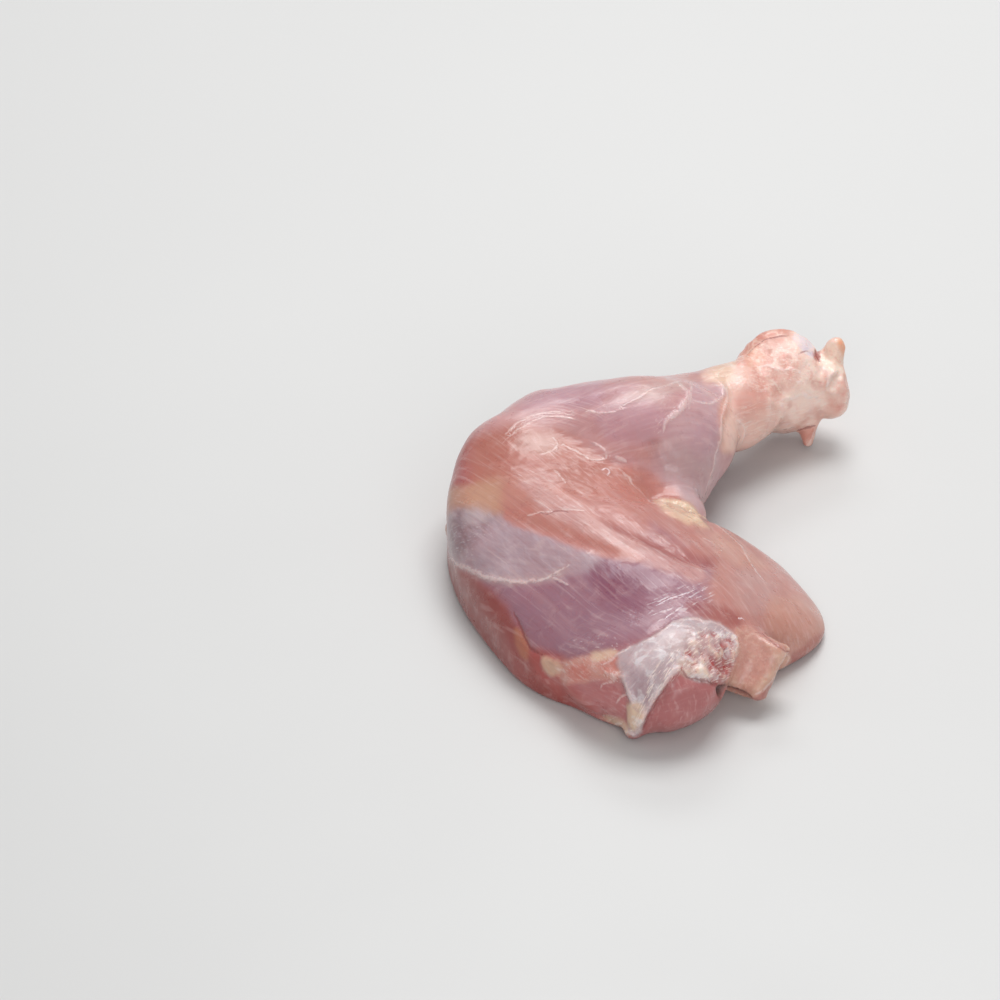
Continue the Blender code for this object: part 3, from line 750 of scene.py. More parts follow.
# --- outer side wall: its flesh painted dark with the shade it lies in, and a lighter copy of that shade towards the hip
area([(437, 555), (449, 560), (484, 588), (510, 612), (530, 655), (545, 678), (600, 735), (560, 720), (500, 660), (450, 600), (430, 565)],
     5, "side", 0.95, 2.0, seed=47)
area([(515, 628), (523, 632), (530, 650), (526, 660), (517, 648)], 2.5, "side_tan", 0.9, 1.0, 3.0, seed=48)
area([(530, 650), (560, 655), (600, 690), (610, 725), (570, 705), (540, 678)], 6, "side", 0.8, 2.0, seed=49, light=1.35)
# --- hip end
area([(568, 684), (582, 676), (617, 680), (626, 690), (632, 702), (627, 720), (620, 730), (600, 730), (588, 708), (576, 695)], 4, "raw", 0.95, 1.5, seed=50)
area([(558, 664), (580, 656), (612, 650), (624, 656), (620, 678), (590, 680), (566, 684)], 4, "fringe", 0.9, 3.0, 3.0, seed=51)
area([(566, 668), (582, 664), (590, 676), (570, 682)], 3, "fringe_red", 0.7, 2.0, 3.0, seed=52)
area([(600, 658), (614, 654), (622, 664), (612, 672), (600, 670)], 3, "fringe_red", 0.5, 2.0, 3.0, seed=75)
area([(590, 652), (606, 648), (618, 652), (604, 660), (592, 660)], 3, "cream", 0.7, 2.0, 3.0, seed=76)
area([(668, 684), (680, 674), (700, 680), (722, 686), (718, 704), (704, 722), (680, 735), (640, 737), (650, 707)], 4, "raw", 0.95, 1.5, seed=53, light=0.86)
area([(656, 733), (690, 724), (710, 704), (717, 710), (700, 730), (664, 739)], 3, "raw_deep", 0.7, 1.5, seed=54)
area([(590, 726), (596, 720), (628, 724), (632, 733), (606, 737)], 2.5, "cream", 0.8, 1.5, 3.0, seed=55)
area([(617, 653), (630, 646), (648, 639), (664, 628), (676, 620), (688, 616), (706, 621), (723, 627), (734, 635), (737, 647), (734, 659), (724, 680), (710, 682), (692, 680), (679, 671), (670, 680), (661, 692), (652, 706), (643, 722), (636, 736), (630, 731), (632, 706), (626, 690), (622, 676), (618, 664)],
     3.5, "membrane", 0.97, 3.2, 2.6, seed=56)
area([(630, 654), (654, 646), (664, 652), (652, 670), (640, 676), (630, 668)], 6, "membrane", 0.8, 3.0, 4.0, seed=57, light=1.14)
area([(628, 680), (644, 672), (656, 680), (646, 700), (634, 702)], 5, "silver", 0.75, 2.0, 3.0, seed=77)
area([(664, 640), (690, 628), (708, 634), (700, 650), (676, 656)], 6, "sheath", 0.5, 3.0, 3.0, seed=78, light=0.9)
area([(690, 644), (712, 636), (732, 642), (732, 664), (722, 680), (700, 678), (682, 668)], 5, "membrane_rose", 0.8, 3.0, 3.0, seed=58)
area([(714, 650), (728, 648), (732, 664), (722, 680), (712, 670)], 3, "blood", 0.7, 3.0, 2.5, seed=59)
area([(676, 664), (688, 658), (704, 664), (706, 678), (686, 678)], 3, "cream_pale", 0.5, 3.0, 2.5, seed=60, light=0.78)
area([(626, 706), (634, 701), (643, 704), (646, 712), (640, 722), (634, 730), (628, 722)], 2.5, "cream", 0.9, 1.5, 3.0, seed=61, light=1.05)
area([(736, 627), (749, 626), (761, 636), (779, 648), (790, 657), (787, 667), (776, 677), (762, 692), (753, 697), (744, 691), (726, 686), (729, 675), (736, 658), (734, 638)],
     2.5, "flap", 0.95, 1.2, 4.0, seed=62)
area([(740, 640), (760, 645), (770, 660), (755, 680), (738, 676)], 5, "flap_rose", 0.6, 3.0, 4.0, seed=63)
area([(772, 648), (789, 657), (784, 668), (764, 690), (752, 696), (758, 684), (774, 666)], 3, "cream", 0.28, 2.0, 4.0, seed=64)
area([(730, 618), (752, 622), (766, 634), (776, 644), (760, 644), (744, 638), (734, 640)], 4, "outer", 0.7, 2.0, 4.0, seed=82, light=1.06)
# painted shadow in the hollow under the flap's lower edge
area([(717, 686), (726, 685), (745, 692), (751, 698), (735, 700), (720, 696)], 2, "cavity_shade", 0.9, 1.0, seed=65)
area([(541, 661), (546, 657), (556, 659), (560, 668), (556, 676), (548, 674)], 3, "cream", 0.75, 3.0, 3.0, seed=66, light=0.95)
area([(686, 604), (704, 600), (722, 606), (740, 616), (738, 627), (716, 622), (700, 619), (690, 614)], 5, "seam", 0.62, 3.0, 4.0, seed=83, light=1.05)
area([(572, 494), (600, 492), (640, 505), (648, 528), (610, 524), (580, 510)], 7, "crest_red", 0.7, 3.0, 3.0, seed=86, light=0.92)
area([(596, 566), (624, 560), (652, 572), (660, 590), (620, 590), (598, 584)], 8, "plum", 0.75, 3.0, 4.0, seed=87, light=0.97)
area([(596, 408), (626, 402), (664, 408), (664, 434), (630, 446), (600, 434)], 9, "drum_film", 0.7, 3.0, 4.0, seed=88, light=1.12)
area([(700, 524), (728, 526), (748, 544), (740, 562), (712, 552)], 8, "sheath", 0.25, 3.0, 4.0, seed=89)
area([(746, 352), (776, 346), (794, 354), (792, 378), (768, 388), (748, 380)], 9, "hock_rose", 0.4, 3.0, 3.0, seed=93, light=0.97)
# the two lumps of fat go on round the sides that the photograph hides
pit_round = 2.9 * (0.4 - join(ellipsoid(points, PIT_FAT_CENTRE, PIT_FAT_RADII, PIT_FAT_YAW),
                              ellipsoid(points, (10.5, -14.0, 26.0), (7.0, 9.0, 24.0), -25), 4.0)) + 3.0 * fine_patchy + 9.0 * ripple(points, 8.0, 31, 2)
flap_round = 2.9 * (1.4 - slab_of_fat(points, FAT_FLAP_CENTRE, FAT_FLAP_HALF_SIZES, FAT_FLAP_ROUNDING, FAT_FLAP_YAW, FAT_FLAP_ROLL)) + 1.5 * fine_patchy
lay((1 - seen) * ramp(-1.5, 2.5, pit_round), tissue("cream", 0.95))
lay((1 - seen) * ramp(-1.5, 2.5, flap_round), tissue("flap"))
tint *= (1.0 + 0.05 * fine_patchy)[:, None]

# ------------------------------------------------------------------ combed places
# Where the surface is streaked, the streaks' own coordinates: along them and
# across them, counted in streak lengths and streak widths.
comb_along, comb_across = np.zeros(count), np.zeros(count)
glint, streak, thread = np.zeros(count), np.zeros(count), np.zeros(count)
comb_dense = np.zeros(count)


def comb(corners, soft, angle, length, width, shine=0.0, soft_streaks=0.0, threads=0.0, seed=0, around=None, rays=False, dense=0.0):
    """Streaks at an angle, or in arcs or rays around a point of the photograph."""
    global comb_along, comb_across, comb_dense, glint, streak, thread
    d = edge_distance(corners) + 1.5 * ripple(points, 4.0, 300 + seed, 2)
    w = ramp(-soft, soft, d) * seen
    if around is None:
        c, s = math.cos(math.radians(angle)), math.sin(math.radians(angle))
        a, b = u * c + v * s, -u * s + v * c
    else:
        du, dv = u - around[0], (v - around[1]) * 1.3
        radius = np.hypot(du, dv)
        middle = float(np.median(radius[w > 0.5])) if (w > 0.5).any() else 20.0
        a, b = np.arctan2(dv, du) * middle, radius
        if rays:
            a, b = b, a
    bend = 1.6 * ripple(points, 6.0, 320 + seed)
    here = w > 0.004
    comb_along = np.where(here, a / length + 13.0 * seed, comb_along)
    comb_across = np.where(here, (b + bend) / width + 7.0 * seed, comb_across)
    glint = np.where(here, w * shine, glint)
    streak = np.where(here, w * soft_streaks, streak)
    thread = np.where(here, w * threads, thread)
    comb_dense = np.where(here, dense, comb_dense)


# right muscle and crest: fine pale fibres, which on the crest band, with a few glints, also paint its highlight
comb([(700, 545), (745, 556), (790, 585), (822, 612), (816, 640), (786, 654), (748, 622), (712, 612)], 12, 62, 30, 2.6, 0.0, 0.26, seed=1)
comb([(600, 474), (640, 490), (672, 520), (706, 536), (730, 552), (690, 552), (640, 520), (600, 500)], 7, 36, 30, 3.0, 0.0, 0.45, seed=2)
comb([(524, 484), (560, 494), (620, 514), (660, 532), (706, 572), (696, 584), (640, 560), (575, 530), (545, 512)], 4, 33, 18, 2.8, 0.2, 0.75, seed=3)
# drumstick: arcs of sheath over the cap, rays of wrinkles beside it with painted shade in them
comb([(500, 436), (520, 416), (552, 402), (604, 402), (606, 416), (570, 426), (540, 426), (512, 444)], 4, 0, 30, 2.6, 0.15, 0.8, seed=4, around=(548, 470))
comb([(552, 434), (575, 440), (608, 452), (632, 470), (640, 492), (610, 484), (576, 486), (550, 466)], 6, 0, 13, 3.6, 0.06, 0.75, seed=5, around=(528, 434), rays=True)
comb([(516, 464), (548, 466), (560, 486), (540, 492), (514, 484)], 6, 24, 12, 3.0, 0.15, 0.6, seed=6)
comb([(606, 392), (640, 384), (676, 384), (664, 404), (624, 414)], 6, -22, 16, 3.4, 0.0, 0.5, seed=7)
comb([(660, 404), (676, 404), (672, 420), (660, 434), (654, 426)], 3, -48, 5, 2.0, 0.7, 0.6, seed=8)
# silverskin: painted sparkle of highlights on its rumpled corner
comb([(448, 534), (466, 522), (492, 530), (492, 552), (466, 560), (450, 556)], 6, -20, 3.6, 2.0, 0.6, 0.3, seed=9)
comb([(500, 540), (560, 548), (590, 562), (560, 574), (500, 572), (480, 560)], 8, 8, 26, 4.5, 0.0, 0.35, seed=10)
# thigh: the wet strokes below the crest, painted as glint highlights
comb([(650, 600), (690, 584), (714, 584), (712, 600), (696, 606), (668, 624), (652, 618)], 4, -24, 16, 2.9, 0.75, 0.3, seed=11, dense=0.06)
comb([(572, 640), (600, 634), (626, 640), (618, 652), (590, 660), (572, 652)], 3, -14, 4.0, 2.2, 0.7, 0.3, seed=12)
# hip end
comb([(560, 664), (600, 652), (632, 664), (640, 704), (618, 690), (590, 682), (564, 684)], 4, 40, 9, 3.6, 0.25, 0.40, 0.25, seed=13)
comb([(600, 668), (616, 670), (632, 676), (638, 704), (628, 706), (622, 690), (606, 680)], 2.5, 62, 12, 2.2, 0.4, 0.2, 0.9, seed=23)
comb([(576, 690), (612, 686), (626, 700), (620, 722), (600, 724), (584, 706)], 5, 24, 14, 3.0, 0.15, 0.35, seed=14)
comb([(650, 706), (668, 682), (700, 682), (714, 690), (706, 712), (684, 728), (650, 730)], 4, -16, 16, 3.0, 0.08, 0.14, seed=15)
comb([(617, 653), (648, 639), (676, 620), (706, 621), (690, 640), (664, 660), (640, 706), (632, 706), (622, 676)], 3, -50, 26, 4.4, 0.3, 0.7, seed=16)
comb([(655, 668), (680, 650), (690, 664), (668, 684), (648, 716), (636, 736), (630, 728), (640, 704)], 2.5, -56, 16, 2.4, 0.5, 0.3, 0.9, seed=17)
comb([(686, 644), (706, 626), (734, 636), (736, 656), (724, 682), (698, 680), (682, 668)], 3, -38, 8, 2.6, 0.8, 0.2, 0.8, seed=18)
comb([(590, 724), (600, 719), (630, 724), (634, 735), (606, 738)], 2, 8, 9, 2.2, 0.4, 0.3, 0.7, seed=19)
# hock: sinew, torn skin
comb([(738, 366), (756, 350), (790, 340), (812, 356), (812, 392), (780, 396), (744, 388)], 4, 8, 8, 3.4, 0.6, 0.35, 0.45, seed=20)
comb([(736, 410), (776, 396), (822, 388), (828, 408), (800, 432), (750, 440)], 5, -14, 18, 4.0, 0.35, 0.35, 0.4, seed=21)
comb([(704, 372), (742, 358), (742, 388), (724, 392), (706, 384)], 4, -14, 12, 3.0, 0.2, 0.3, 0.4, seed=22)

# ------------------------------------------------------------------ lines on the leg
pale = Strokes()
# drumstick: arcs of tendon sheath
pale.add([(504, 435), (517, 423), (534, 415), (552, 411.5), (573, 411)], 0.40, wobble=0.4, seed=1)
pale.add([(506, 440), (523, 426), (543, 417), (560, 416.5), (576, 419)], 0.34, wobble=0.4, seed=2)
pale.add([(585, 411), (606, 413), (624, 410)], 0.26, wobble=0.6, seed=3)
pale.add([(620, 409), (640, 397), (664, 386), (680, 383)], 0.40, wobble=0.9, seed=5)
pale.add([(679.5, 383), (685, 390), (687, 400), (681, 411), (670, 419), (665, 424), (663, 432)], 0.95, (0.05, 0.3), 0.9, 6)
pale.add([(692, 383), (690.5, 396), (689, 409)], 0.35, wobble=0.6, seed=7)
pale.add([(693, 401), (705, 404), (716, 402.5), (722, 397), (723, 388), (719, 382)], 0.42, wobble=0.7, seed=8)
pale.add([(726, 387), (726, 401), (722, 414), (720, 428), (719, 444), (715, 460), (711, 478), (704, 499)], 0.50, (0.1, 0.3), 0.5, 9)
pale.add([(732, 418), (739, 422.5), (743.5, 427), (744.5, 433), (741.5, 441), (738, 448)], 0.50, wobble=0.4, seed=10)
# knee: cap and wrinkles
pale.add([(552, 436), (558, 443), (552, 451), (538, 455)], 0.30, wobble=0.5, seed=12)
pale.add([(558, 446), (571, 448), (582, 453), (595, 459.5), (606, 459)], 0.36, wobble=0.9, seed=13)
pale.add([(590, 441), (602, 450), (606, 459)], 0.34, wobble=0.6, seed=14)
pale.add([(614, 457), (621, 459), (627, 462)], 0.5, wobble=0.5, seed=15)
pale.add([(554, 469), (561, 477), (566, 484)], 0.40, wobble=0.5, seed=17)
pale.add([(617, 468), (629, 478), (637, 487), (646, 496), (658, 508)], 0.45, wobble=0.5, seed=18)
# silverskin's lower edge: a pale fold, painted partly as a highlight
pale.add([(446, 555), (462, 566), (478, 574), (493, 579), (512, 581.5), (532, 581.5), (547, 578.5), (560, 571.5), (570, 565)], 0.85, (0.2, 0.45), 0.6, 21)
pale.add([(551, 578), (560, 582), (568, 586)], 0.36, wobble=0.5, seed=22)
pale.add([(527, 515), (540, 513.5), (552, 512)], 0.3, wobble=0.6, seed=24)
pale.add([(561, 510), (570, 509.5), (584, 512)], 0.34, wobble=0.8, seed=25)
# right muscle
pale.add([(702, 538), (708, 541), (712, 543)], 0.35)
# hock
pale.add([(757, 368), (766, 366), (777, 370), (790, 369), (800, 374)], 0.45, wobble=1.2, seed=28)
pale.add([(820, 364), (826, 370), (829, 379), (826, 388)], 0.6, wobble=0.5, seed=30)
pale.add([(826, 388), (830, 377), (838, 370.5)], 0.5)
pale.add([(780, 400), (800, 396), (818, 398)], 0.6, wobble=1.0, seed=33)
pale.add([(801, 446), (808, 446), (815, 431)], 0.5, (0.1, 0.1))
# hip: folds of the membrane
pale.add([(679, 667), (670, 677), (661, 689), (655, 697), (649, 706), (642, 720), (636, 733)], 1.1, (0.1, 0.1), 0.7, 34)
pale.add([(630, 647), (619, 653), (609, 661), (601, 666)], 0.42, (0.1, 0.5), 1.0, 90)
pale.add([(621, 672), (612, 680), (602, 684), (596, 690)], 0.38, (0.1, 0.5), 1.2, 91)
pale.add([(627, 692), (617, 699), (612, 706)], 0.34, (0.1, 0.5), 1.0, 92)
pale.add([(604, 672), (614, 675), (625, 678), (629, 692), (634, 702)], 0.6, (0.3, 0.1), 0.9, 35)
pale.add([(640, 644), (652, 637), (664, 628), (676, 620.5), (688, 617.5), (706, 622), (722, 628), (733, 635)], 0.6, (0.3, 0.3), 1.0, 36)
pale.add([(636, 733), (622, 731), (606, 728), (596, 722)], 0.6, (0.1, 0.4), 0.7, 41)
pale.add([(784, 652), (788, 658), (785, 666), (776, 676), (762, 691), (754, 695)], 0.3, (0.2, 0.2), 0.6, 42)

# painted highlights: short strokes of glare on the wet flesh
glare = Strokes(4.0)
glare.add([(655, 606), (668, 599), (682, 594), (697, 589)], 0.26, wobble=0.5, seed=52)
glare.add([(664, 618), (674, 611), (684, 606)], 0.26, wobble=0.5, seed=53)
glare.add([(738, 619), (742, 618.5), (745, 621)], 0.30, (0.2, 0.2))

# dark lines: seams, and creases darkened with painted shade
seams_and_crease_shade = Strokes()
seams_and_crease_shade.add([(536, 516), (541, 513.5), (545, 515), (550, 513), (556, 511.5), (569, 512.5)], 0.22, wobble=0.5, seed=61)
seams_and_crease_shade.add([(815, 354), (818, 358)], 0.9, (0, 0))
seams_and_crease_shade.add([(797, 432), (806, 428.5), (816, 426)], 0.5, (0.2, 0.2))
seams_and_crease_shade.add([(752, 630), (770, 641), (788, 654)], 0.22, (0.5, 0.2), 0.4, 63)
seams_and_crease_shade.add([(747, 357), (759, 345), (775, 337.5), (790, 336)], 0.17, (0.3, 0.3), 0.5, 87)
seams_and_crease_shade.add([(797, 356), (806, 352), (812, 357)], 0.12, (0.3, 0.2), 0.4, 88)
pale.add([(741, 352), (752, 341), (768, 332), (786, 329)], 0.4, (0.3, 0.3), 0.4, 89)
seams_and_crease_shade.add([(681, 671), (690, 678), (704, 681), (718, 684)], 0.6, (0.2, 0.2), 0.6, 65)
seams_and_crease_shade.add([(668, 684), (660, 695), (652, 709), (643, 728)], 0.55, (0.2, 0.3), 0.4, 66)
seams_and_crease_shade.add([(543, 655), (530, 648), (523, 632), (514, 612)], 0.5, (0.2, 0.3), 0.5, 70)

# the far side: sinews along the drumstick and the seams of its muscles
pale.trace([(-34, 44, 24), (-10, 56, 24), (16, 64, 20), (44, 74, 16)], 0.55, (0.3, 0.1), 0.7, 81)
pale.trace([(-20, 52, 14), (6, 62, 12), (30, 70, 12), (50, 78, 12)], 0.45, (0.4, 0.1), 0.7, 82)
pale.trace([(-46, 36, 16), (-36, 46, 12), (-22, 52, 8)], 0.40, (0.3, 0.3), 0.8, 83)
pale.trace([(18, -10, 20), (30, -30, 20), (38, -52, 18)], 0.30, (0.3, 0.4), 0.8, 84)
seams_and_crease_shade.trace([(-30, 46, 18), (-4, 58, 17), (22, 66, 15)], 0.35, (0.3, 0.3), 0.7, 85)
seams_and_crease_shade.trace([(-50, -6, 12), (-44, -34, 11), (-36, -62, 11)], 0.35, (0.3, 0.3), 0.8, 86)
# a painted highlight ring, as of a droplet, beside the knee
glare.add([(602, 470), (606, 468), (610, 471), (607, 475)], 0.22, (0.1, 0.1))

pale_s, pale_d, pale_w = pale.measure()
glare_s, glare_d, glare_w = glare.measure()
dark_s, dark_d, dark_w = seams_and_crease_shade.measure()

# ------------------------------------------------------------------ relief
relief = 0.55 * ripple(points, 24.0, 101) + 0.28 * ripple(points, 10.0, 102, 2)
hockness = ramp(68, 80, along_drum) * drumness
hock_belly = ramp(-5, 6, edge_distance([(732, 412), (764, 408), (792, 398), (824, 388), (840, 412), (806, 442), (744, 446)])) * seen


def swell(corners, soft, height, jitter=1.5, size=5.0, seed=1):
    """Raises or sinks the flesh inside an outline."""
    global relief
    d = edge_distance(corners) + jitter * ripple(points, size, seed, 2)
    relief = relief + height * ramp(-soft, soft, d) * seen


def furrow(corners, width, height, wobble=0.5, seed=1):
    """A soft ridge or groove along a line."""
    global relief
    s = Strokes(width * 3.0)
    s.add(corners, width, (0.25, 0.25), wobble, seed)
    _, d, w = s.measure()
    relief = relief + height * np.exp(-(d / width) ** 2) * np.clip(w / width, 0, 1)


hock_lumps = 0.6 * ripple(points, 7.0, 103, 2) + 0.4 * ripple(points, 3.4, 104, 2)
relief += hockness * (1.35 - 0.9 * hock_belly) * hock_lumps
lay(hockness * ramp(0.0, -0.35, hock_lumps) * 0.45, tissue("hock_red"))
lay(hockness * ramp(0.05, 0.4, hock_lumps) * 0.45, tissue("hock_white"))
# muscles part along these lines
furrow([(566, 484), (590, 494), (620, 496), (654, 503)], 3.0, -0.9, seed=71)
furrow([(596, 510), (640, 533), (684, 556), (730, 566)], 4.0, -1.3, seed=72)
furrow([(503, 517), (545, 530), (600, 550), (640, 562)], 3.0, -0.7, seed=73)
furrow([(600, 470), (640, 488), (668, 516)], 2.5, -0.6, seed=74)
furrow([(655, 440), (664, 470), (670, 498)], 3.0, -0.8, seed=75)
furrow([(575, 455), (600, 462), (630, 462)], 2.5, -0.5, seed=76)
furrow([(570, 660), (610, 648), (650, 634), (684, 618), (735, 634)], 2.5, -0.5, seed=77)
furrow([(756, 632), (768, 641), (780, 649), (792, 655)], 3.0, 0.5, seed=78)
furrow([(788, 396), (783, 408), (778, 420), (771, 432)], 3.2, 0.8, seed=94)
furrow([(722, 386), (727, 404), (722, 420), (719, 446)], 1.6, 0.5, seed=79)
furrow([(724, 372), (730, 392), (732, 408)], 2.0, -0.6, seed=80)
furrow([(826, 356), (822, 372), (824, 396), (832, 412)], 2.0, -1.0, seed=81)
# the oval hollow beside the prong, the notch, the rim round the joint's cap
swell([(829, 386), (832, 377), (838, 372), (841, 376), (838, 386), (833, 391)], 1.5, -1.6, 0.3, seed=82)
swell([(737, 364), (748, 345), (768, 331), (794, 326), (808, 331), (804, 337), (788, 335), (770, 340), (756, 352), (747, 367)],
      1.5, 0.7, 1.0, 3.0, seed=83)
swell([(798, 341), (804, 336), (813, 341), (817, 350), (811, 354), (803, 349)], 2.0, 0.5, 0.5, seed=84)
# hip end
swell([(570, 686), (590, 681), (617, 683), (626, 694), (629, 712), (620, 722), (602, 722), (588, 708)], 5, -1.6, seed=85)
swell([(672, 690), (690, 684), (714, 690), (710, 704), (692, 720), (664, 726)], 7, 0.9, seed=86)
swell([(617, 653), (648, 639), (676, 620), (706, 621), (734, 635), (734, 659), (724, 680), (679, 671), (661, 692), (643, 722), (636, 736), (630, 731), (632, 706), (622, 676)],
      2.6, 0.35, 3.2, 2.6, seed=56)
torn = ramp(-5, 3, edge_distance([(690, 640), (714, 634), (734, 642), (734, 664), (724, 682), (700, 682), (680, 672), (682, 656)])) * seen
torn_lumps = 0.65 * ripple(points, 3.0, 105, 2) + 0.35 * ripple(points, 1.9, 106)
relief += torn * 1.6 * torn_lumps
lay(torn * ramp(0.0, -0.45, torn_lumps) * 0.85, tissue("blood", 1.2))
lay(torn * ramp(0.08, 0.5, torn_lumps) * 0.65, tissue("cream_pale"))
swell([(718, 652), (726, 650), (729, 664), (722, 676), (716, 666)], 2.0, -1.0, 1.5, 3.0, seed=87)
swell([(626, 706), (634, 701), (643, 704), (646, 712), (640, 722), (634, 728), (628, 720)], 2.5, 1.0, seed=88)
swell([(541, 661), (546, 657), (556, 659), (560, 668), (556, 676), (548, 674)], 3.0, 0.9, 2.5, 3.0, seed=89)
swell([(717, 688), (726, 686), (744, 693), (750, 699), (735, 701), (720, 697)], 2.0, -2.0, 0.5, seed=90)
furrow([(679, 667), (670, 677), (661, 689), (655, 697), (649, 706), (642, 720), (636, 733)], 1.5, 1.1, 0.8, seed=91)
furrow([(668, 684), (658, 697), (650, 712)], 2.0, -1.0, 0.4, seed=92)
furrow([(604, 672), (614, 675), (625, 678), (629, 692), (634, 702)], 1.2, 0.8, seed=93)
# fat
fat_lumps = 0.5 * ripple(points, 4.0, 107, 2)
fat_grains = ripple(points, 2.2, 109, 2)
fat_pit = edge_distance([(654, 502), (666, 499), (681, 501), (691, 505), (697, 513), (701, 522), (709, 531), (688, 526), (674, 520), (662, 512)])
fat_pit = fat_pit * seen + pit_round * (1 - seen)
relief += ramp(-4.5, 4.5, fat_pit + 1.5 * fine_patchy) * (1.2 + 2.2 * fat_lumps + 0.3 * fat_grains)
lay(ramp(-1, 2, fat_pit) * ramp(0.0, -0.35, fat_lumps) * 0.55, tissue("outer_peach", 1.1))
lay(ramp(-1, 2, fat_pit) * ramp(0.0, 0.35, fat_lumps) * 0.6, tissue("cream_pale"))
lay(ramp(-4, 0, fat_pit) * ramp(5, 1, fat_pit) * 0.35, tissue("outer_peach", 1.1))
fat_flap = edge_distance([(736, 627), (749, 626), (761, 636), (779, 648), (790, 657), (787, 667), (776, 677), (762, 692), (753, 697), (744, 691), (726, 686), (729, 675), (736, 658), (734, 638)])
fat_flap = fat_flap * seen + flap_round * (1 - seen)
relief += ramp(-4, 5, fat_flap) * (0.2 + 0.6 * fat_lumps + 0.2 * fat_grains)
lay(ramp(-1, 2, fat_flap) * ramp(0.0, -0.4, fat_lumps) * 0.3, tissue("fringe", 0.9))
lay(ramp(-1, 2, fat_flap) * ramp(0.05, 0.4, fat_lumps) * 0.22, tissue("cream"))
lay(ramp(-1, 2, fat_flap) * ramp(0.2, 0.7, fat_grains) * 0.2, tissue("cream_pale"))
hidden_lumps = (1 - seen) * ramp(-3, 4, hidden_fat)
relief += hidden_lumps * (0.6 + 1.4 * fat_lumps + 0.25 * fat_grains)
lay(hidden_lumps * ramp(0.0, -0.35, fat_lumps) * 0.4, tissue("outer_peach", 1.1))
lay(hidden_lumps * ramp(0.0, 0.35, fat_lumps) * 0.4, tissue("cream_pale"))
# lines
relief += 0.20 * np.clip(pale_w / 0.5, 0, 1.7) * np.exp(-(pale_d / (0.55 + 0.6 * pale_w)) ** 2)
relief -= 0.45 * np.clip(dark_w / 0.5, 0, 1.6) * np.exp(-(dark_d / (0.45 + 0.6 * dark_w)) ** 2)
relief += 0.12 * np.clip(glare_w / 0.4, 0, 1.4) * np.exp(-(glare_d / 0.6) ** 2)
# wrinkled sheath about the knee
wrinkle = ramp(-8, 8, edge_distance([(505, 440), (540, 424), (600, 440), (648, 462), (640, 486), (600, 480), (560, 490), (520, 476)])) * seen
relief += wrinkle * 0.26 * ripple(points, 3.2, 108, 2, [[0.9, -0.4, 0], [0.3, 1.6, 0], [0, 0, 1]])

relief *= ramp(0.0, 3.0, points[:, 2])
shaped = points + normal * relief[:, None]
for share in (0.5, -0.48, 0.5, -0.48):          # takes out pinches and keeps the shape
    shaped = averaged(shaped, pairs, count, share=share)
shaped[:, 2] = np.maximum(shaped[:, 2], 0.0)
shaped[points[:, 2] < 0.02, 2] = 0.0

# ------------------------------------------------------------------ the leg
mesh = bpy.data.meshes.new("leg_flesh")
mesh.from_pydata(real(shaped).tolist(), [], quads.tolist())
mesh.update()
mesh.shade_smooth()
legpiece = bpy.data.objects.new("leg_flesh", mesh)
scene.collection.objects.link(legpiece)


def painted(name, values):
    values = np.asarray(values, float)
    if values.ndim == 1:
        a = mesh.attributes.new(name, "FLOAT", "POINT")
        a.data.foreach_set("value", values.astype(np.float32))
    elif name == "tint":
        a = mesh.attributes.new(name, "FLOAT_COLOR", "POINT")
        rgba = np.ones((len(values), 4), np.float32)
        rgba[:, :3] = values
        a.data.foreach_set("color", rgba.ravel())
    else:
        a = mesh.attributes.new(name, "FLOAT_VECTOR", "POINT")
        a.data.foreach_set("vector", values.astype(np.float32).ravel())


fibre_dir = np.array([0.58, -0.814])
grain_thigh = np.stack([points[:, 0] * fibre_dir[0] + points[:, 1] * fibre_dir[1],
                        -points[:, 0] * fibre_dir[1] + points[:, 1] * fibre_dir[0], points[:, 2]], 1) * 0.9
grain_drum = np.stack([along_drum, across_drum, points[:, 2]], 1) * 0.9
silver_edge = edge_distance([(437, 524), (452, 508), (484, 506), (510, 520), (552, 538), (590, 552), (632, 566), (604, 580), (571, 572), (547, 581), (512, 583), (478, 575), (447, 556)]) * seen - 6 * (1 - seen)
membrane_edge = edge_distance([(617, 653), (630, 646), (648, 639), (664, 628), (676, 620), (688, 616), (706, 621), (723, 627), (734, 635), (737, 647), (734, 659), (724, 680), (710, 682), (692, 680), (679, 671), (670, 680), (661, 692), (652, 706), (643, 722), (636, 736), (630, 731), (632, 706), (626, 690), (622, 676), (618, 664)]) * seen - 6 * (1 - seen)
fat_edge = np.maximum(np.maximum(fat_pit, fat_flap), hidden_fat * (1 - seen) - 6 * seen)
meaty = (1 - ramp(-2, 2, membrane_edge)) * (1 - ramp(-2, 2, fat_edge)) * (1 - ramp(62, 74, along_drum))

painted("tint", tint)
painted("pale", np.stack([pale_s, pale_d, pale_w], 1))
painted("glare", np.stack([glare_s, glare_d, glare_w], 1))
painted("seams_and_crease_shade", np.stack([dark_s, dark_d, dark_w], 1))
painted("edges", np.stack([silver_edge, membrane_edge, fat_edge], 1))
painted("grain_thigh", grain_thigh)
painted("grain_drum", grain_drum)
painted("body", np.stack([drumness, hockness * (1 - 0.6 * hock_belly), meaty], 1))
painted("rough", np.stack([torn, wrinkle, seen], 1))
painted("comb", np.stack([comb_along, comb_across, np.zeros(count)], 1))
painted("combed", np.stack([glint, streak, thread], 1))
painted("dense", comb_dense)


